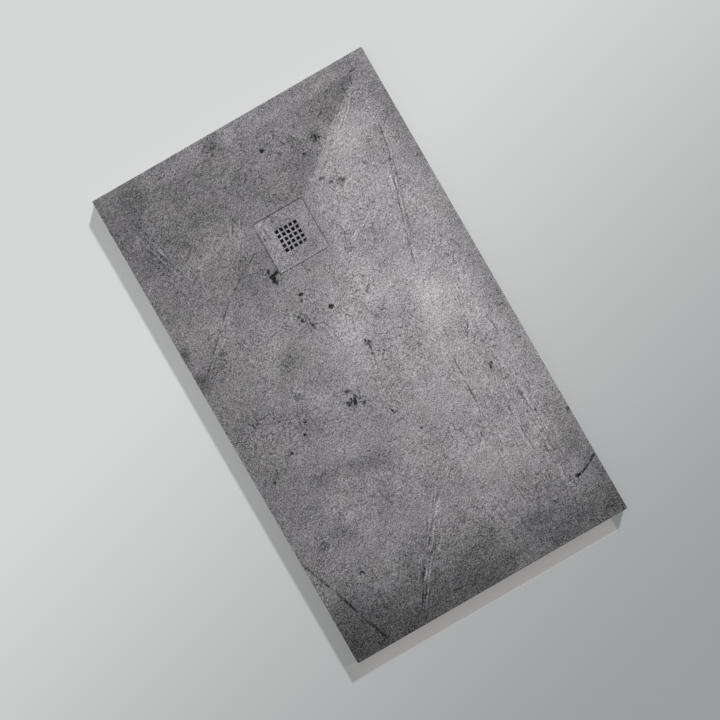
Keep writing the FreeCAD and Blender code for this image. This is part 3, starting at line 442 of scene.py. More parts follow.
STROKES = many(
    crack,
    ([(275, 275), (216, 308), (160, 345), (110, 392), (55, 445), (25, 474)], 1.4, -30, 0.25),
    ([(0, 940), (15, 980), (35, 1030), (60, 1110), (90, 1195)], 2.8, -29, 0.3),
    ([(75, 1040), (70, 1090), (50, 1140)], 1.6, -14),
    ([(640, 1082), (655, 1078), (672, 1070), (699, 1054)], 2.8, -50, 0.4),
    # The next two strokes are painted shade: along the rim's crease at the head, and along the crease between
    # the head and left falls.
    ([(48, 47), (200, 50), (330, 46), (480, 50), (640, 47)], 2.2, -9),
    ([(52, 52), (100, 92), (170, 142), (282, 224)], 2.6, -6),
    ([(650, 160), (636, 235), (622, 270), (605, 330), (580, 410), (555, 500)], 1.6, -34, 0.25),
    ([(640, 240), (628, 280), (614, 330), (590, 420)], 1.5, -24, 0.2),
    ([(530, 700), (529, 770), (524, 830), (518, 860)], 1.5, -40, 0.25),
    ([(505, 975), (505, 1010), (513, 1090)], 1.4, -18, 0.2), ([(540, 945), (585, 970)], 1.3, -20),
    ([(643, 660), (648, 715)], 1.6, -44, 0.3), ([(600, 650), (592, 668), (580, 686)], 2, -40, 0.3),
    ([(375, 595), (385, 610), (410, 622)], 1.5, -26), ([(85, 38), (90, 43)], 1.5, -30),
    ([(475, 448), (490, 470)], 1.4, -24, 0.2), ([(487, 503), (498, 505)], 1.4, -22),
    ([(645, 590), (660, 575)], 1.4, -20), ([(185, 1170), (215, 1120), (236, 1090)], 1.6, -24, 0.3),
    ([(195, 1172), (222, 1128), (250, 1094), (280, 1052), (310, 1006), (352, 962)], 2.2, 20, -0.2),
    ([(260, 1165), (300, 1170), (330, 1182)], 2.4, -18), ([(255, 903), (310, 903)], 1.2, 14),
    ([(605, 1120), (605, 1170)], 1.3, -16), ([(497, 1135), (495, 1190)], 1.3, -14),
    ([(600, 335), (700, 333)], 1.2, -12), ([(650, 340), (650, 470), (654, 640)], 1.3, -9),
    ([(636, 545), (624, 590), (620, 640)], 1.4, -12, 0.2), ([(575, 140), (602, 108), (634, 63)], 4, 10),
    ([(420, 385), (455, 372), (500, 345)], 1.2, 13), ([(430, 395), (470, 378)], 1.2, -10),
    ([(540, 900), (560, 912), (590, 922)], 1.4, -16), ([(370, 470), (395, 462), (420, 460)], 1.6, -12),
    ([(291, 470), (292, 497)], 2, -26), ([(330, 250), (360, 225), (430, 190)], 1.6, -16, 0.2),
    ([(275, 265), (262, 240), (252, 180)], 1.6, -9), ([(430, 240), (480, 205), (560, 130)], 3, -8),
    ([(690, 560), (690, 700)], 1.2, -8), ([(520, 700), (512, 800), (510, 900)], 1.2, -10),
    ([(598, 768), (602, 800), (606, 840)], 1.2, -10), ([(100, 960), (75, 1010), (60, 1060)], 1.4, -10),
    ([(600, 900), (650, 930), (695, 975)], 1.2, -12), ([(545, 420), (575, 380), (640, 340)], 1.4, 9),
)

SCRATCHES = tuple(Scratches(Mark(*row[:-1]), row[-1]) for row in (
    (264, 1070, 180, 34, 44, 54, 4.4), (603, 335, 215, 22, 40, 74, 4), (232, 1108, 90, 20, 26, 54, 3.4),
    (330, 975, 110, 30, 22, 50, 5), (78, 190, 170, 40, 27, -73, 6), (606, 900, 270, 70, 34, 91, 5),
    (525, 880, 260, 26, 30, 93, 4), (470, 370, 90, 26, 34, 28, 3.6), (245, 225, 90, 40, 28, 58, 5),
    (610, 620, 110, 50, 26, 84, 5), (610, 95, 90, 20, 34, 44, 4), (150, 380, 190, 16, 24, 38, 3.6),
))

CRAZED = by_hand(
    (390, 510, 150, 150), (590, 650, 80, 80), (540, 330, 120, 90), (60, 640, 80, 110), (470, 130, 100, 80),
    (300, 690, 90, 60), (90, 440, 90, 70),
)

COVER_SPOTS = by_hand(
    (300, 233, 9, 6, 30), (311, 252, 5, 12, 34), (293, 268, 4, 4, -52, 0, 2), (342, 232, 14, 5, 14),
    (330, 243, 7, 4, -26), (385, 330, 24, 14, -16), (300, 320, 18, 14, 12), (398, 262, 12, 16, 12),
    (360, 338, 16, 9, -18), (402, 300, 12, 8, -12),
)

COVER_STROKES = many(
    crack,
    ([(303, 243), (304, 262), (307, 276)], 1.4, -34), ([(308, 232), (322, 228), (336, 230)], 1.2, -24),
    ([(395, 276), (400, 284), (396, 293)], 1.3, -34), ([(290, 346), (330, 344), (350, 343)], 1.2, -20),
    ([(296, 240), (299, 258)], 1.6, 26), ([(390, 232), (394, 244)], 1.3, -24),
)


@dataclass(frozen=True)
class Strengths:
    """What each layer of the print adds in display levels, and the factors of scratches and crazing."""

    wide: float = 8
    patch: float = 11
    small: float = 10
    fine: float = 36
    pits: float = 34
    streaks: float = 5
    creases: float = -24
    hair: float = -46
    specks: float = -42
    # Painted shade along the joint between the tray and its cover.
    joint: float = -30
    foot: float = -50
    left: float = -15
    head: float = -3
    # Painted shade on the head fall and painted light on the right fall.
    head_fall_shade: float = -8
    right_fall_light: float = 12
    scratches: float = 2.3
    crazed: float = 0.8


@dataclass(frozen=True)
class Scales:
    """How fine each layer of the print and of its relief is, in features to a metre."""

    wide: float = 3.6
    patch: float = 17
    small: float = 95
    fine: float = 330
    streaks: float = 240
    creases: float = 74
    hair: float = 58.0
    specks: float = 165.0
    tint: float = 7
    resin: float = 40
    pebbles: float = 420
    wrinkles: float = 190
    swell: float = 60


@dataclass(frozen=True)
class Reaches:
    """How far the print's broad shading reaches in from the slab's edges, in metres."""

    foot: float = 0.27
    left: float = 0.20
    head: float = 0.10


STRENGTH, SCALE, REACH = Strengths(), Scales(), Reaches()


@dataclass(frozen=True)
class CementPrint:
    """The cement-look print under a matt gelcoat, on the tray or on its cover."""

    name: str
    middle_level: float = 134.0
    patches: tuple[Mark, ...] = ()
    spots: tuple[Mark, ...] = ()
    strokes: tuple[Mark, ...] = ()
    scratches: tuple[Scratches, ...] = ()
    crazed: tuple[Mark, ...] = ()
    # Whether the print takes its broad darkening and the painted shade and light of its falls.
    shaded: bool = True
    contrast: float = 1.0
    darkest: float = 0.04
    roughness: float = 0.58
    gloss: float = 0.28
    shift: tuple[float, float, float] = (0.0, 0.0, 0.0)
    plain_side: Colour = linear((128, 127, 128))
    # The lighter arris is partly edge wear and partly a painted highlight; wear sets how much of it shows.
    wear: float = 0.8
    worn_and_highlit_arris: Colour = linear((196, 195, 196))
    grain_turn: float = -50
    # Where the painted joint shade lies beyond the recess, and how it fades.
    joint_gap: float = 0.0005
    joint_fade: tuple[float, float] = (0.0024, 0.0008)
    relief_depth: float = 0.0004
    resin_shade: float = 0.86
    bluer: Colour = (1.0, 0.965, 1.016, 1.0)
    warmer: Colour = (1.0, 0.967, 0.990, 1.0)

    def made(self) -> Material:
        """Builds the finish and gives its material."""
        return PrintRecipe(self).material


class PrintRecipe(Recipe):
    """The print's nodes, with a method for each of its layers."""

    def __init__(self, look: CementPrint) -> None:
        """Lays the print and its gelcoat over the resin.

        Args:
            look: The print's values.
        """
        super().__init__(look.name)
        self.look = look
        self.flat = self.vector("MULTIPLY", self.place, (1.0, 1.0, 0.0))
        self.moved = self.vector("ADD", self.place, look.shift)
        levels = self.mottle()
        grain = self.grain()
        if look.shaded:
            levels = levels + self.shading()
        levels = self.placed(levels)
        levels = levels.plus(grain, 1.0).plus(self.joint(), STRENGTH.joint) + look.middle_level
        tone = (levels * LEVEL).larger(look.darkest) ** GAMMA
        sockets = {"Vector": self.tint(), "Scale": tone}
        printed = self.wire("ShaderNodeVectorMath", {"operation": "SCALE"}, sockets)
        normal = self.parts(self.coordinates.outputs["Normal"])[2]
        face = normal.step(0.45, 0.75)
        # The lighter arris is partly edge wear and partly a painted highlight where the edge catches the
        # light.
        edge = normal.step(0.30, 0.50) * normal.step(0.97, 0.85)
        worn = edge * self.cloud(self.moved, 30, 3).step(-0.6, 0.1)
        side = self.mix(look.wear * worn, self.side(), look.worn_and_highlit_arris)
        self.set(base_color=self.mix(face, side, printed))
        self.set(roughness=look.roughness + 0.07 * self.cloud(self.moved, 60, 3) + 0.0006 * grain)
        self.set(specular_ior_level=look.gloss, normal=self.leather())

    def mottle(self) -> Wire:
        """The print's clouding at three sizes.

        Returns:
            Display levels.
        """
        wide = self.cloud(self.moved, SCALE.wide, 2)
        patch = self.cloud(self.warped(self.moved, 14, 0.02), SCALE.patch, 5, 0.62)
        small = self.cloud(self.warped(self.moved, 70, 0.004), SCALE.small, 4, 0.6)
        total = (STRENGTH.wide * wide).plus(patch, STRENGTH.patch * self.look.contrast)
        return total.plus(small, STRENGTH.small * self.look.contrast)

    def grain(self) -> Wire:
        """The print's fine grain, creases, hair cracks and specks.

        Returns:
            Display levels.
        """
        fine = self.cloud(self.moved, SCALE.fine, 3, 0.75)
        pits = (fine + 0.12).smaller(0.0)
        along = self.turned(self.warped(self.moved, 30, 0.004), self.look.grain_turn, (0.4, 1.0, 1.0))
        streaks = self.cloud(along, SCALE.streaks, 2, 0.6)
        wrinkled = self.turned(self.warped(self.moved, 70, 0.007, 4), self.look.grain_turn, (0.6, 1.0, 1.0))
        ridge = self.cloud(wrinkled, SCALE.creases, 3, 0.55)
        creases = ridge.maths("ABSOLUTE", ridge).step(0.10, 0.0)
        creases = creases * self.cloud(self.moved, 24, 3).step(-0.1, 0.35)
        sockets = {"Vector": self.warped(self.moved, 55, 0.006, 4), "Scale": SCALE.hair, "Randomness": 1.0}
        edges = self.wire("ShaderNodeTexVoronoi", {"feature": "DISTANCE_TO_EDGE"}, sockets)
        where = self.cloud(self.moved, 21, 3)
        for mark in self.look.crazed:
            where = where.plus(self.spread(self.flat, mark), STRENGTH.crazed)
        hair = edges.step(0.085, 0.0) * where.step(0.05, 0.5)
        hair = hair * self.cloud(self.moved, 95, 2).step(-0.25, 0.15)
        sockets = {"Vector": self.warped(self.moved, 240, 0.0012), "Scale": SCALE.specks}
        dots = self.wire("ShaderNodeTexVoronoi", {"feature": "F1"}, sockets)
        specks = dots.step(0.32, 0.12) * self.cloud(self.moved, 80, 3, 0.6).step(0.0, 0.35)
        grain = (STRENGTH.fine * self.look.contrast * fine).plus(pits, STRENGTH.pits)
        grain = grain.plus(streaks, STRENGTH.streaks * self.look.contrast).plus(creases, STRENGTH.creases)
        return grain.plus(hair, STRENGTH.hair).plus(specks, STRENGTH.specks)

    def joint(self) -> Wire:
        """Painted shade along the joint between the tray and its cover, where the print darkens into the gap.

        Returns:
            1 at the joint, else 0.
        """
        offset = self.vector("ABSOLUTE", self.vector("SUBTRACT", self.flat, WASTE))
        across, up, _ = self.parts(offset)
        reach = across.larger(up)
        gap = reach - (COVER_BOX[1].x + self.look.joint_gap)
        line = gap.maths("ABSOLUTE", gap).step(*self.look.joint_fade)
        return line * self.cloud(self.flat, 60, 3).step(-0.8, 0.2)

    def shading(self) -> Wire:
        """The print's broad darkening towards the foot, the left side and the head, with painted shade on the
        head fall and painted light on the right fall.

        Returns:
            Display levels.
        """
        high = TRAY_BOX[1]
        across, up, _ = self.parts(self.warped(self.flat, 9, 0.03))
        foot = up.step(REACH.foot - high.y, -high.y)
        left = across.step(REACH.left - high.x, -high.x)
        head = up.step(high.y - REACH.head, high.y)
        # Painted shade and light by fall: the head fall is darkened and the right fall lightened, as light on
        # their tilts gives.
        across, up, _ = self.parts(self.warped(self.flat, 40, 0.002))
        falls = TRAY
        rise = falls.run_drop / (falls.half_rim.x - falls.recess)
        head_rise = falls.run_drop / (falls.half_rim.y - WASTE.y - falls.recess)
        right_level = (across - falls.recess) * rise
        head_level = (up - (WASTE.y + falls.recess)) * head_rise
        beyond = right_level.larger(head_level).step(falls.run_drop, falls.run_drop * 1.15)
        head_fall_shade = (head_level - right_level.larger(0.0)).step(-0.0002, 0.0008)
        right_fall_light = (right_level - head_level.larger(0.0)).step(-0.0002, 0.0010)
        head_shade_share = head_fall_shade * (1.0 - beyond)
        right_light_share = right_fall_light * (1.0 - beyond)
        total = (STRENGTH.foot * foot ** 1.4).plus(left, STRENGTH.left).plus(head, STRENGTH.head)
        return total.plus(head_shade_share, STRENGTH.head_fall_shade).plus(right_light_share, STRENGTH.right_fall_light)

    def placed(self, levels: Wire) -> Wire:
        """Adds the patches, spots, strokes and scratches.

        Args:
            levels: The display levels so far.

        Returns:
            The levels with the marks.
        """
        soft = self.warped(self.flat, 13, 0.022, 4)
        torn = self.warped(self.flat, 95, 0.0042, 4)
        wavy = self.warped(self.flat, 48, 0.0030, 4)
        ragged = self.cloud(self.flat, 330, 3, 0.7).step(-0.45, 0.15)
        broken = self.cloud(self.flat, 130, 3, 0.7).step(-0.35, 0.25)
        for mark in self.look.patches:
            levels = levels.plus(self.spread(soft, mark), mark.tone)
        for place, drawing, share in ((torn, self.look.spots, ragged), (wavy, self.look.strokes, broken)):
            if drawing:
                levels = levels + self.drawn(place, drawing) * (0.55 + 0.6 * share)
        for group in self.look.scratches:
            levels = levels.plus(self.scratched(wavy, group), STRENGTH.scratches * group.band.tone)
        return levels

    def drawn(self, place: Wire, marks: tuple[Mark, ...]) -> Wire:
        """Adds up some marks.

        Args:
            place: The coordinates they are drawn on.
            marks: The marks.

        Returns:
            Display levels.
        """
        total = self.spread(place, marks[0]) * marks[0].tone
        for mark in marks[1:]:
            total = total.plus(self.spread(place, mark), mark.tone)
        return total

    def scratched(self, place: Wire, group: Scratches) -> Wire:
        """One band's scratches.

        Args:
            place: The coordinates they are drawn on.
            group: The band.

        Returns:
            The scratches, from -1 to 1.
        """
        along = self.turned(place, -group.band.turn, (0.07, 1.0, 1.0))
        lines = self.cloud(along, 1 / (group.pitch * MM), 2, 0.6)
        thinned = self.cloud(place, 45, 2).step(-0.35, 0.3)
        return lines * self.spread(place, group.band) * thinned

    def spread(self, place: Wire, mark: Mark) -> Wire:
        """One mark's strength.

        Args:
            place: The coordinates it is drawn on.
            mark: The mark.

        Returns:
            1 at its middle, falling to 0 at its edge.
        """
        sockets = {"Vector": place, "Location": mark.middle, "Rotation": (0, 0, math.radians(mark.turn)),
                   "Scale": (mark.long * MM, mark.wide * MM, 1.0)}
        local = self.wire("ShaderNodeMapping", {"vector_type": "TEXTURE"}, sockets)
        cone = self.wire("ShaderNodeTexGradient", {"gradient_type": "SPHERICAL"}, {"Vector": local}, "Fac")
        return cone if mark.sharp == 1 else (cone * mark.sharp).smaller(1.0)

    def tint(self) -> Wire:
        """The print's faint turn from a bluer to a warmer grey."""
        share = self.cloud(self.moved, SCALE.tint, 4, 0.6).step(-0.35, 0.45)
        return self.mix(share, self.look.bluer, self.look.warmer)

    def side(self) -> Wire:
        """The unprinted resin of the sides and of the underside.

        Returns:
            Its colour.
        """
        share = self.cloud(self.moved, SCALE.resin, 4, 0.6).step(-0.5, 0.5)
        dark = tuple(self.look.resin_shade * part for part in self.look.plain_side[:3]) + (1.0,)
        return self.mix(share, dark, self.look.plain_side)

    def leather(self) -> Wire:
        """The gelcoat's leathery relief: fine pebbling, wrinkles along the grain and a slow swell.

        Returns:
            The normal.
        """
        pebbles = self.cloud(self.moved, SCALE.pebbles, 3, 0.6)
        along = self.turned(self.warped(self.moved, 30, 0.005), self.look.grain_turn, (0.4, 1.0, 1.0))
        wrinkles = self.cloud(along, SCALE.wrinkles, 4, 0.6)
        swell = self.cloud(self.moved, SCALE.swell, 3)
        height = (0.35 * pebbles).plus(wrinkles, 0.8).plus(swell, 0.9)
        return self.bump(height, self.look.relief_depth)


@dataclass(frozen=True)
class Moulded:
    """A moulded plastic with a fine spark-eroded grain and faint flow clouds."""

    name: str
    colour: Colour
    roughness: float
    grain: float = 0.00004
    grain_scale: float = 900.0
    clouding: float = 0.10
    sheen: float = 0.45

    def made(self) -> Material:
        """Builds the finish.

        Returns:
            The material.
        """
        recipe = Recipe(self.name)
        flow = recipe.cloud(recipe.warped(recipe.place, 20, 0.01), 55, 4, 0.6)
        dust = recipe.cloud(recipe.place, 240, 3, 0.7)
        dark = tuple((1 - self.clouding) * part for part in self.colour[:3]) + (1.0,)
        recipe.set(base_color=recipe.mix((flow + 0.4 * dust).step(-0.7, 0.7), dark, self.colour))
        recipe.set(roughness=self.roughness + 0.10 * flow + 0.05 * dust, specular_ior_level=self.sheen)
        recipe.set(normal=recipe.bump(recipe.cloud(recipe.place, self.grain_scale, 2), self.grain))
        return recipe.material


class Lay(Enum):
    """Which way a metal's brushing runs."""

    AROUND = "around the waste"
    ALONG = "along the tray"


@dataclass(frozen=True)
class Metal:
    """Brushed or turned metal with fine tool lines and water marks, and where asked, dark grime and painted
    shade around the waste's throat.
    """

    name: str
    colour: Colour
    roughness: float
    lay: Lay
    stain_and_shade: Colour
    grime_and_shade: float | None = None

    def made(self) -> Material:
        """Builds the finish.

        Returns:
            The material.
        """
        recipe = Recipe(self.name)
        if self.lay is Lay.AROUND:
            offset = recipe.vector("SUBTRACT", recipe.place, WASTE)
            flat = recipe.vector("MULTIPLY", offset, (1.0, 1.0, 0.0))
            radius = recipe.vector("LENGTH", flat, output=1)
            height = recipe.parts(recipe.place)[2]
            across = recipe.wire("ShaderNodeCombineXYZ", {}, {"X": radius * 60.0, "Z": height * 25.0})
            lines = recipe.cloud(across, 60, 4, 0.75)
        else:
            lines = recipe.cloud(recipe.turned(recipe.place, 12, (40.0, 2.0, 40.0)), 60, 4, 0.75)
        marks = recipe.cloud(recipe.warped(recipe.place, 30, 0.006), 70, 4, 0.6)
        stained = marks.step(0.15, 0.6)
        share = 0.5 * stained
        # Grime and painted shade darken the throat.
        if self.grime_and_shade is not None:
            share = share.larger(self.grime_and_shade_share(recipe, flat))
        recipe.set(base_color=recipe.mix(share, self.colour, self.stain_and_shade), metallic=1.0)
        recipe.set(roughness=self.roughness + 0.10 * lines + 0.16 * stained)
        recipe.set(normal=recipe.bump(lines, 0.00002))
        return recipe.material

    def grime_and_shade_share(self, recipe: Recipe, flat: Wire) -> Wire:
        """Where dark grime and painted shade darken the ring around its throat, clear on the side towards the
        light: 1 at the throat, else 0.

        Args:
            recipe: The finish.
            flat: The coordinates from the waste's axis.

        Returns:
            The share of grime.
        """
        radius = recipe.vector("LENGTH", recipe.warped(flat, 60, 0.0015, 3), output=1)
        # The side towards the light stays clear of the painted shade.
        away_from_lit_side = recipe.vector("DOT_PRODUCT", flat, (0.707, -0.707, 0.0), output=1)
        return radius.step(self.grime_and_shade + 0.002, self.grime_and_shade - 0.001) * away_from_lit_side.step(0.040, 0.022)


@dataclass(frozen=True)
class Rubber:
    """Black seal rubber, matt, with a talc bloom."""

    name: str
    colour: Colour
    bloom: Colour

    def made(self) -> Material:
        """Builds the finish.

        Returns:
            The material.
        """
        recipe = Recipe(self.name)
        talc = recipe.cloud(recipe.warped(recipe.place, 80, 0.002), 160, 5, 0.7)
        recipe.set(base_color=recipe.mix(0.6 * talc.step(0.0, 0.7), self.colour, self.bloom))
        recipe.set(roughness=0.72 + 0.12 * talc, specular_ior_level=0.35)
        recipe.set(normal=recipe.bump(recipe.cloud(recipe.place, 700, 2), 0.00003))
        return recipe.material


def spaced(marks: list[float], cell: float) -> list[float]:
    """Sets out lines about a cell apart, with one line on each mark.

    Args:
        marks: The places that get a line, in any order.
        cell: The spacing aimed at.

    Returns:
        The lines' places, in rising order.
    """
    stops = sorted(marks)
    lines = stops[:1]
    for start, end in zip(stops, stops[1:]):
        count = max(1, round((end - start) / cell))
        lines += [start + (end - start) * index / count for index in range(1, count + 1)]
    return lines


def woven(across: list[float], up: list[float]) -> BMesh:
    """Makes a flat net of faces on uneven lines.

    Args:
        across: The lines' places along X.
        up: The lines' places along Y.

    Returns:
        The mesh, at a height of zero.
    """
    mesh = bmesh.new()
    columns, rows = len(across) - 1, len(up) - 1
    bmesh.ops.create_grid(mesh, x_segments=columns, y_segments=rows, size=1.0)
    for vertex in mesh.verts:
        vertex.co.x = across[round((vertex.co.x + 1) / 2 * columns)]
        vertex.co.y = up[round((vertex.co.y + 1) / 2 * rows)]
    return mesh


def linked(name: str, data: bpy.types.ID) -> Object:
    """Puts data in the scene as an object.

    Args:
        name: The object's name.
        data: Its mesh, lamp or camera.

    Returns:
        The object.
    """
    made = bpy.data.objects.new(name, data)
    bpy.context.scene.collection.objects.link(made)
    return made


def cut_out(mesh: BMesh, inside: Callable[[Vector], bool]) -> None:
    """Deletes the faces whose middles pass a test."""
    gone = [face for face in mesh.faces if inside(face.calc_center_median())]
    bmesh.ops.delete(mesh, geom=gone, context="FACES")


def extruded(mesh: BMesh, edges: list[BMEdge]) -> tuple[list[BMEdge], list[BMVert]]:
    """Extrudes an open loop once.

    Args:
        mesh: The mesh.
        edges: The open loop's edges.

    Returns:
        The new loop's edges and vertices.
    """
    made = bmesh.ops.extrude_edge_only(mesh, edges=edges)["geom"]
    loop = [part for part in made if isinstance(part, BMEdge) and part.is_boundary]
    return loop, [part for part in made if isinstance(part, BMVert)]


def round_corner(vertices: list[BMVert], arc: Vector, radius: float) -> None:
    """Draws the corners of a square outline onto arcs.

    Args:
        vertices: The vertices to move.
        arc: The arc's middle, taken from the outline's own middle.
        radius: The arc's radius.
    """
    for vertex in vertices:
        out = Vector((abs(vertex.co.x) - arc.x, abs(vertex.co.y) - arc.y))
        if min(out) <= 0 or max(out) > radius * 1.001:
            continue
        drawn = out * (max(out) / out.length)
        vertex.co.x = math.copysign(arc.x + drawn.x, vertex.co.x)
        vertex.co.y = math.copysign(arc.y + drawn.y, vertex.co.y)


def pebbled(place: Vector, start: Vector = Vector()) -> float:
    """The pebbling's height at a place, mostly from 0 to 1, where start moves the pattern."""
    return 0.5 + 0.5 * noise.fractal(place * PEBBLE_SCALE + start, 0.8, 2.0, 3)


def shift(vertices: list[BMVert], by: Vector) -> None:
    """Moves vertices."""
    for vertex in vertices:
        vertex.co += by


def border(edges: list[BMEdge], inside: bool, reach: float) -> list[BMEdge]:
    """Takes a mesh's open edges near the waste, or the others.

    Args:
        edges: The mesh's edges.
        inside: Whether the edges near the waste are wanted.
        reach: How near is near.

    Returns:
        The open edges.
    """
    found = []
    for edge in edges:
        middle = (edge.verts[0].co + edge.verts[1].co) / 2
        near = max(abs(middle.x), abs(middle.y - WASTE.y)) < reach
        if edge.is_boundary and near == inside:
            found.append(edge)
    return found


def finished(mesh: BMesh, name: str, finish: Material, sharp: float) -> Object:
    """Turns a mesh into a shown piece with smooth faces and sharp edges.

    Args:
        mesh: The mesh, which is used up.
        name: The piece's name.
        finish: Its material.
        sharp: The angle in degrees from which an edge stays sharp.

    Returns:
        The piece.
    """
    bmesh.ops.recalc_face_normals(mesh, faces=mesh.faces)
    for face in mesh.faces:
        face.smooth = True
    data = bpy.data.meshes.new(name)
    mesh.to_mesh(data)
    mesh.free()
    data.set_sharp_from_angle(angle=math.radians(sharp))
    data.materials.append(finish)
    return linked(name, data)


@dataclass
class Tray:
    """The cast slab: rim, four falls, cover recess, flange seat and waste hole."""

    cell: float = 0.0031
    rim: float = 0.050
    arris: float = 0.0012
    corner: float = 0.002
    cover_gap: float = 0.001
    recess_corner: float = 0.009
    recess_arris: float = 0.0004
    hole: float = 0.045
    flange_gap: float = 0.001
    underside_seat: float = 0.060
    seat_depth: float = 0.001
    side_rings: int = 5
    wave: float = 0.00012
    pebble: float = 0.00014
    deepest: float = 0.00035
    cut_width: float = 0.0034

    @property
    def recess(self) -> float:
        """Half the recess's width."""
        return COVER_BOX[1].x + self.cover_gap

    @property
    def half_rim(self) -> Vector:
        """Half the sizes of the basin's upper outline."""
        return Vector((TRAY_BOX[1].x - self.rim, TRAY_BOX[1].y - self.rim))

    @property
    def run_drop(self) -> float:
        """How far the falls drop from the rim to the waste."""
        return TRAY_BOX[1].z - COVER_BOX[1].z

    def height(self, x: float, y: float) -> float:
        """The face's height at a place.

        Args:
            x: The place across the tray.
            y: The place along it.

        Returns:
            The height in metres.
        """
        half = self.half_rim
        side = (abs(x) - self.recess) / (half.x - self.recess)
        head = (y - WASTE.y - self.recess) / (half.y - WASTE.y - self.recess)
        foot = (WASTE.y - self.recess - y) / (half.y + WASTE.y - self.recess)
        share = min(1.0, max(side, head, foot, 0.0))
        return COVER_BOX[1].z + self.run_drop * share

    def lines(self) -> tuple[list[float], list[float]]:
        """Sets out the net, with lines on the slab's own edges.

        Returns:
            The lines' places across and along the tray.
        """
        high, half = TRAY_BOX[1], self.half_rim
        across = [high.x, high.x - self.arris, high.x - self.corner, half.x,
                  self.recess + self.recess_arris, self.recess, self.recess - self.recess_corner]
        across += [-mark for mark in across]
        up = [high.y, high.y - self.arris, high.y - self.corner, half.y]
        up += [-mark for mark in up]
        near = [self.recess + self.recess_arris, self.recess, self.recess - self.recess_corner]
        up += [WASTE.y + side * mark for mark in near for side in (-1, 1)]
        return spaced(across, self.cell), spaced(up, self.cell)

    def build(self) -> Object:
        """Builds and dresses the slab.

        Returns:
            The piece that stands for the cast slab.
        """
        across, up = self.lines()
        mesh = woven(across, up)
        cut_out(mesh, self.in_recess)
        shift(mesh.verts, -WASTE)
        arc = Vector((self.recess - self.recess_corner,) * 2)
        edges = [edge for edge in mesh.edges if edge.is_boundary]
        reach = self.recess * 1.001
        rim = {vertex for edge in edges for vertex in edge.verts if max(map(abs, vertex.co)) <= reach}
        round_corner(list(rim), arc, self.recess_corner)
        shift(mesh.verts, WASTE)
        high = TRAY_BOX[1]
        outer = [vertex for vertex in mesh.verts
                 if abs(vertex.co.x) > high.x - self.corner or abs(vertex.co.y) > high.y - self.corner]
        round_corner(outer, Vector((high.x - self.corner, high.y - self.corner)), self.corner)
        self.raise_face(mesh, rim)
        self.waste_side(mesh)
        self.outside(mesh)
        finish = CementPrint("tray_print", patches=PATCHES, spots=SPOTS, strokes=STROKES,
                             scratches=SCRATCHES, crazed=CRAZED)
        piece = finished(mesh, "tray_face", finish.made(), 40)
        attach(piece, "root")
        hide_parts("tray_slab")
        return piece

    def in_recess(self, place: Vector) -> bool:
        """Whether a place lies in the recess."""
        return max(abs(place.x), abs(place.y - WASTE.y)) < self.recess

    def raise_face(self, mesh: BMesh, rim: set) -> None:
        """Gives the net its falls, its waves and its cut marks.

        Args:
            mesh: The net.
            rim: The vertices around the recess.
        """
        high = TRAY_BOX[1]
        for vertex in mesh.verts:
            vertex.co.z = self.height(vertex.co.x, vertex.co.y)
        free = [vertex for vertex in mesh.verts if not vertex.is_boundary]
        for _ in range(2):
            bmesh.ops.smooth_vert(mesh, verts=free, factor=0.5, use_axis_z=True)
        self.relieve(free)
        for vertex in mesh.verts:
            if vertex in rim:
                vertex.co.z -= self.recess_arris
            elif vertex.is_boundary:
                vertex.co.z = high.z - self.arris

    def relieve(self, vertices: list[BMVert]) -> None:
        """Sinks the face's waves, pebbling and cut marks into it.

        Args:
            vertices: The face's vertices.
        """
        tree = kdtree.KDTree(len(vertices))
        for index, vertex in enumerate(vertices):
            place = Vector((vertex.co.x, vertex.co.y, 0.0))
            tree.insert(place, index)
            waves = 0.5 + 0.5 * noise.noise(place * WAVE_SCALE)
            sunk = self.wave * waves + self.pebble * pebbled(place)
            vertex.co.z -= min(self.deepest, max(0.0, sunk))
        tree.balance()
        for mark in (mark for mark in SPOTS + STROKES if mark.depth):
            turn = math.radians(mark.turn)
            along, over = Vector((math.cos(turn), math.sin(turn))), Vector((-math.sin(turn), math.cos(turn)))
            wide = max(mark.wide * MM, self.cut_width)
            for _, index, _ in tree.find_range(mark.middle, mark.long * MM + wide):
                offset = (vertices[index].co - mark.middle).to_2d()
                reach = math.hypot(offset.dot(along) / (mark.long * MM + wide / 2), offset.dot(over) / wide)
                if reach < 1:
                    sunk = vertices[index].co.z - mark.depth * MM * (1 - reach * reach) ** 2
                    vertices[index].co.z = min(sunk, TRAY_BOX[1].z)

    def ring(self, mesh: BMesh, edges: list, place: object) -> list[BMEdge]:
        """Extrudes an open loop once and sets the new loop in place.

        Args:
            mesh: The mesh.
            edges: The open loop's edges.
            place: A function that gives each new vertex its place.

        Returns:
            The new loop's edges.
        """
        loop, rim = extruded(mesh, edges)
        for vertex in rim:
            vertex.co = place(vertex.co)
        return loop

    def waste_side(self, mesh: BMesh) -> None:
        """Leads the recess's edge down its wall, over the flange seat and through the waste hole.

        Args:
            mesh: The slab's mesh.
        """
        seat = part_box("waste_flange")[1]
        flange = seat.x + self.flange_gap
        flange_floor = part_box("upper_gasket")[0].z
        loop = border(mesh.edges, True, self.recess * 1.02)
        steps = [(None, seat.z), (flange, seat.z), (flange, flange_floor), (self.hole, flange_floor),
                 (self.hole, self.seat_depth), (self.underside_seat, self.seat_depth),
                 (self.underside_seat, 0.0)]
        for radius, level in steps:
            loop = self.ring(mesh, loop, lambda co, at=radius, z=level: self.around(co, at, z))

    @staticmethod
    def around(place: Vector, radius: float | None, level: float) -> Vector:
        """Sets a place at a radius about the waste and at a level.

        Args:
            place: The place.
            radius: The radius, or None to keep it.
            level: The height.

        Returns:
            The new place.
        """
        out = (place - WASTE).to_2d()
        if radius is not None:
            out = out.normalized() * radius
        return Vector((WASTE.x + out.x, WASTE.y + out.y, level))

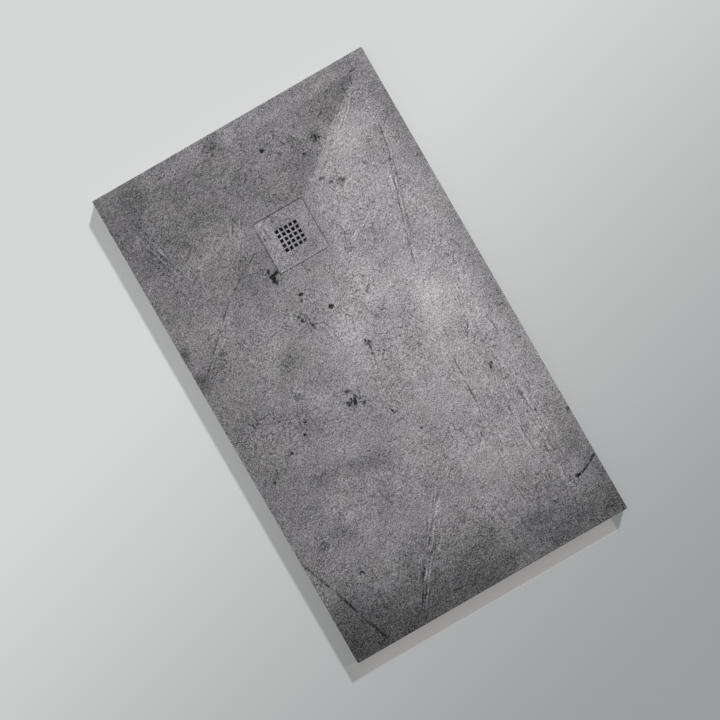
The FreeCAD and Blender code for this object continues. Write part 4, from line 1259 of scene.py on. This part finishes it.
    def outside(self, mesh: BMesh) -> None:
        """Takes the outline down the cast sides and closes the underside.

        Args:
            mesh: The slab's mesh.
        """
        start = TRAY_BOX[1].z - self.arris
        loop = border(mesh.edges, False, self.recess * 1.02)
        for index in range(1, self.side_rings + 1):
            level = start * (1 - index / self.side_rings)
            loop = self.ring(mesh, loop, lambda co, level=level: Vector((co.x, co.y, level)))
        inner = border(mesh.edges, True, self.recess * 1.02)
        bmesh.ops.triangle_fill(mesh, use_beauty=True, edges=loop + inner)


@dataclass
class Cover:
    """The lift-out cover: a thin cast plate with a square of square holes."""

    cell: float = 0.0016
    corner: float = 0.008
    arris: float = 0.0006
    hole: float = 0.008
    pitch: float = 0.0118
    count: int = 5
    hole_arris: float = 0.0002
    relief: float = 0.0316
    relief_depth: float = 0.002
    relief_wall: float = 0.0003
    pebble: float = 0.00014

    @property
    def half(self) -> float:
        """Half the plate's width."""
        return COVER_BOX[1].x

    def centres(self) -> list[float]:
        """The holes' middles along one side, from the plate's own middle."""
        return [(index - (self.count - 1) / 2) * self.pitch for index in range(self.count)]

    def in_hole(self, place: Vector) -> bool:
        """Whether a place, taken from the plate's middle, lies in a hole."""
        return all(any(abs(part - centre) < self.hole / 2 for centre in self.centres()) for part in place[:2])

    def build(self) -> Object:
        """Builds and dresses the cover.

        Returns:
            The piece that stands for the cover.
        """
        marks = [self.half, self.half - self.arris, self.half - self.corner,
                 self.relief, self.relief + self.relief_wall]
        marks += [-mark for mark in marks]
        for centre in self.centres():
            for side in (-1, 1):
                marks += [centre + side * self.hole / 2, centre + side * (self.hole / 2 + self.hole_arris)]
        lines = spaced(marks, self.cell)
        mesh = woven(lines, lines)
        cut_out(mesh, self.in_hole)
        round_corner(mesh.verts, Vector((self.half - self.corner,) * 2), self.corner)
        thick = COVER_BOX[1].z - COVER_BOX[0].z
        bmesh.ops.solidify(mesh, geom=mesh.faces, thickness=thick)
        upper, lower = self.sides(mesh)
        self.shape(upper, lower)
        shift(mesh.verts, WASTE)
        finish = CementPrint("cover_print", middle_level=141.0, spots=COVER_SPOTS, strokes=COVER_STROKES,
                             shaded=False, contrast=1.1, wear=0.2, shift=(0.7, 0.3, 0.0))
        piece = finished(mesh, "cover_plate", finish.made(), 40)
        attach(piece, "cover")
        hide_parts("waste_cover")
        return piece

    @staticmethod
    def sides(mesh: BMesh) -> tuple[list, list]:
        """Parts the plate's upper from its lower vertices.

        Args:
            mesh: The plate's mesh.

        Returns:
            The upper and the lower vertices.
        """
        levels = [vertex.co.z for vertex in mesh.verts]
        middle = (min(levels) + max(levels)) / 2
        upper = [vertex for vertex in mesh.verts if vertex.co.z > middle]
        lower = [vertex for vertex in mesh.verts if vertex.co.z <= middle]
        return upper, lower

    def shape(self, upper: list, lower: list) -> None:
        """Sets both faces at their levels, with the arrises, the pebbling and the relief below.

        Args:
            upper: The upper face's vertices.
            lower: The lower face's vertices.
        """
        low, high = COVER_BOX
        for vertex in upper:
            worn = any(not edge.link_faces or edge.calc_face_angle(0.0) > 1.0 for edge in vertex.link_edges)
            out = self.edge_distance(vertex.co)
            if worn:
                drop = self.arris if out < self.arris / 2 else self.hole_arris
            else:
                drop = self.pebble * pebbled(vertex.co, WASTE)
            vertex.co.z = high.z - max(0.0, drop)
        for vertex in lower:
            deep = max(abs(vertex.co.x), abs(vertex.co.y)) <= self.relief * 1.0001
            vertex.co.z = low.z + (self.relief_depth if deep else 0.0)

    def edge_distance(self, place: Vector) -> float:
        """How far a place lies inside the plate's outline.

        Args:
            place: The place, from the plate's middle.

        Returns:
            The distance in metres.
        """
        arc = self.half - self.corner
        out = Vector((max(0.0, abs(place.x) - arc), max(0.0, abs(place.y) - arc)))
        if min(out) > 0:
            return self.corner - out.length
        return self.half - max(abs(place.x), abs(place.y))


@dataclass(frozen=True)
class Waste:
    """The waste and its trap, which keep their own solids and get their finishes."""

    steel: Colour = linear((168, 168, 171))
    steel_stain: Colour = linear((104, 102, 98))
    # The flange's throat is darkened by grime and painted shade, out to the radius below.
    grime_and_shade: Colour = linear((42, 40, 37))
    grime_and_shade_to: float = 0.0405
    brass: Colour = linear((214, 178, 98))
    brass_stain: Colour = linear((150, 112, 60))
    trap_white: Colour = linear((224, 224, 220))
    ring_white: Colour = linear((232, 232, 226))
    nut_grey: Colour = linear((74, 75, 78))
    insert_grey: Colour = linear((116, 120, 124))
    strainer_black: Colour = linear((40, 40, 42))
    rubber: Colour = linear((38, 38, 40))
    rubber_bloom: Colour = linear((92, 92, 92))
    pad: Colour = linear((52, 52, 54))
    pad_bloom: Colour = linear((96, 96, 96))

    def dress(self, nodes: dict) -> None:
        """Gives each node its finish.

        Args:
            nodes: The nodes by name.
        """
        rubber = Rubber("seal_rubber", self.rubber, self.rubber_bloom).made()
        finishes = {
            "waste_flange": Metal("flange_steel", self.steel, 0.40, Lay.AROUND, self.grime_and_shade, self.grime_and_shade_to),
            "flange_screws": Metal("screw_steel", self.steel, 0.22, Lay.ALONG, self.steel_stain),
            "screw_inserts": Metal("insert_brass", self.brass, 0.34, Lay.ALONG, self.brass_stain),
            "trap_body": Moulded("trap_plastic", self.trap_white, 0.42),
            "union_nut": Moulded("nut_plastic", self.nut_grey, 0.46),
            "slip_ring": Moulded("slip_plastic", self.ring_white, 0.30, grain=0.00001),
            "outlet_spigot": Moulded("trap_plastic_pipe", self.trap_white, 0.36, grain=0.00002),
            "dip_tube": Moulded("insert_plastic", self.insert_grey, 0.44),
            "trap_cup": Moulded("cup_plastic", self.insert_grey, 0.44),
            "hair_strainer": Moulded("strainer_plastic", self.strainer_black, 0.38),
            "cover_pads": Rubber("pad_rubber", self.pad, self.pad_bloom),
        }
        for name, finish in finishes.items():
            self.wear(nodes[name], finish.made())
        for name in ("upper_gasket", "lower_gasket", "ball_seal", "dip_tube_seal"):
            self.wear(nodes[name], rubber)

    @staticmethod
    def wear(node: Object, finish: Material) -> None:
        """Puts one finish on a node."""
        node.data.materials.clear()
        node.data.materials.append(finish)


@dataclass(frozen=True)
class Studio:
    """The pale floor, the lights and the camera straight above the tray."""

    eye: tuple[float, float] = (-0.005, -0.0105)
    eye_height: float = 3.0
    turn: float = -29.97
    lens: float = 66.65
    floor_reach: float = 30.0
    floor_gap: float = 0.0003
    pit_depth: float = 0.12
    key_way: tuple[float, float] = (0.696, 0.718)
    key_rise: float = 28.8
    key_strength: float = 2.61
    key_width: float = 4.0
    rake_way: tuple[float, float] = (-0.72, 0.69)
    rake_rise: float = 10.0
    rake_strength: float = 4.5
    rake_width: float = 2.0
    sky: float = 0.35
    fade_way: tuple[float, float, float] = (0.366, -1.366, 0.0)
    fade_start: float = -0.409
    fade_end: float = 1.546
    far: tuple[float, float] = (1.25, 4.0)
    # The strip of painted light in the tray's cast shadow along its foot.
    strip_middle: float = 0.020
    strip_edge: tuple[float, float] = (0.0215, 0.0175)
    strip_right: tuple[float, float] = (0.312, 0.306)
    strip_left: tuple[float, float] = (-0.42, -0.30)
    paler_shadow_colour: tuple[float, float, float] = (201, 198, 196)
    pit_low: tuple[float, float] = (-0.075, 0.24)
    pit_high: tuple[float, float] = (0.075, 0.47)

    def camera(self) -> None:
        """Sets the camera."""
        data = bpy.data.cameras.new("camera")
        data.type = "PERSP"
        data.lens = self.lens
        data.clip_end = 200.0
        eye = linked("camera", data)
        eye.location = (*self.eye, TRAY_BOX[1].z + self.eye_height)
        eye.rotation_euler = (0.0, 0.0, math.radians(self.turn))
        bpy.context.scene.camera = eye

    def sun(self, name: str, towards: Vector, strength: float, angle: float) -> Object:
        """Adds a distant lamp.

        Args:
            name: Its name.
            towards: The direction to the lamp.
            strength: Its strength.
            angle: Its width in degrees, which softens its shadows.

        Returns:
            The lamp.
        """
        data = bpy.data.lights.new(name, "SUN")
        data.energy = strength
        data.angle = math.radians(angle)
        lamp = linked(name, data)
        lamp.rotation_euler = towards.to_track_quat("Z", "Y").to_euler()
        return lamp

    @staticmethod
    def direction(way: tuple[float, float], rise: float) -> Vector:
        """Turns a lamp's way over the floor and its rise in degrees into the direction to it."""
        high = math.radians(rise)
        return Vector((way[0] * math.cos(high), way[1] * math.cos(high), math.sin(high)))

    def rake(self, *lit: Object) -> None:
        """Sets a low fill lamp without shadows, which brings out the falls of the pieces it lights.

        Args:
            lit: The pieces that it lights.
        """
        towards = self.direction(self.rake_way, self.rake_rise)
        lamp = self.sun("rake", towards, self.rake_strength, self.rake_width)
        lamp.data.use_shadow = False
        lamp.visible_glossy = False
        group = bpy.data.collections.new("raked")
        for piece in lit:
            group.objects.link(piece)
        lamp.light_linking.receiver_collection = group

    def lights(self) -> None:
        """Sets the key lamp and the sky."""
        self.sun("key", self.direction(self.key_way, self.key_rise), self.key_strength, self.key_width)
        world = bpy.data.worlds.new("sky")
        world.use_nodes = True
        tree = Tree(world.node_tree)
        sky = tree.node("ShaderNodeBackground", {}, {"Color": (self.sky, self.sky, self.sky, 1.0)})
        seen = tree.node("ShaderNodeBackground", {}, {"Color": linear(BACKDROP)})
        rays = tree.node("ShaderNodeLightPath")
        sockets = {0: rays.outputs["Is Camera Ray"], 1: sky.outputs[0], 2: seen.outputs[0]}
        choice = tree.node("ShaderNodeMixShader", {}, sockets)
        tree.node("ShaderNodeOutputWorld", {}, {"Surface": choice.outputs[0]})
        bpy.context.scene.world = world

    def floor(self) -> Object:
        """Lays the floor, with a pit under the trap.

        Returns:
            The floor.
        """
        reach = self.floor_reach
        across = spaced([-reach, self.pit_low[0], self.pit_high[0], reach], reach)
        up = spaced([-reach, self.pit_low[1], self.pit_high[1], reach], reach)
        mesh = woven(across, up)
        cut_out(mesh, self.in_pit)
        loop = [edge for edge in mesh.edges if edge.is_boundary and edge.calc_length() < 1.0]
        foot, rim = extruded(mesh, loop)
        shift(rim, Vector((0.0, 0.0, -self.pit_depth)))
        bmesh.ops.contextual_create(mesh, geom=foot)
        shift(mesh.verts, Vector((0.0, 0.0, -self.floor_gap)))
        piece = finished(mesh, "floor", self.floor_finish(), 30)
        return piece

    def in_pit(self, place: Vector) -> bool:
        """Whether a place on the floor lies over the pit."""
        return all(low < part < high for low, part, high in zip(self.pit_low, place, self.pit_high))

    def floor_finish(self) -> Material:
        """The floor's pale grey, which darkens towards one corner, with painted light that makes the tray's
        cast shadow paler along its foot.

        Returns:
            The material.
        """
        recipe = Recipe("floor")
        offset = recipe.vector("SUBTRACT", recipe.place, (*self.eye, 0.0))
        fade = recipe.vector("DOT_PRODUCT", offset, self.fade_way, output=1)
        share = (fade - self.fade_start) * (1 / (self.fade_end - self.fade_start))
        stops = [(place, linear(shade)) for place, shade in FLOOR_SHADES]
        colour = recipe.wire("ShaderNodeValToRGB", {"stops": stops}, {"Fac": share})
        far = recipe.vector("LENGTH", offset, output=1).step(*self.far)
        colour = recipe.mix(far, colour, linear(BACKDROP))
        # Painted light: the floor is paler where the tray's shadow falls along its foot, so that shadow
        # renders lighter.
        foot = recipe.vector("ADD", recipe.place, (0.0, TRAY_BOX[1].y + self.strip_middle, 0.0))
        across, up, _ = recipe.parts(foot)
        strip = up.maths("ABSOLUTE", up).step(*self.strip_edge) * across.step(*self.strip_right)
        colour = recipe.mix(strip * across.step(*self.strip_left), colour, linear(self.paler_shadow_colour))
        recipe.set(base_color=colour, roughness=0.9, specular_ior_level=0.0)
        return recipe.material


TRAY = Tray()


def main() -> None:
    """Builds the studio, then each sub-assembly in turn."""
    logging.basicConfig(level=logging.INFO, format="%(message)s")
    bpy.context.scene.view_settings.view_transform = "Standard"
    studio = Studio()
    studio.camera()
    studio.lights()
    ground = studio.floor()
    slab = TRAY.build()
    LOG.info("%s: %d faces", slab.name, len(slab.data.polygons))
    plate = Cover().build()
    LOG.info("%s: %d faces", plate.name, len(plate.data.polygons))
    studio.rake(ground, slab, plate)
    Waste().dress(frame["nodes"])
    LOG.info("waste and trap dressed")


if __name__ == "__main__":
    main()
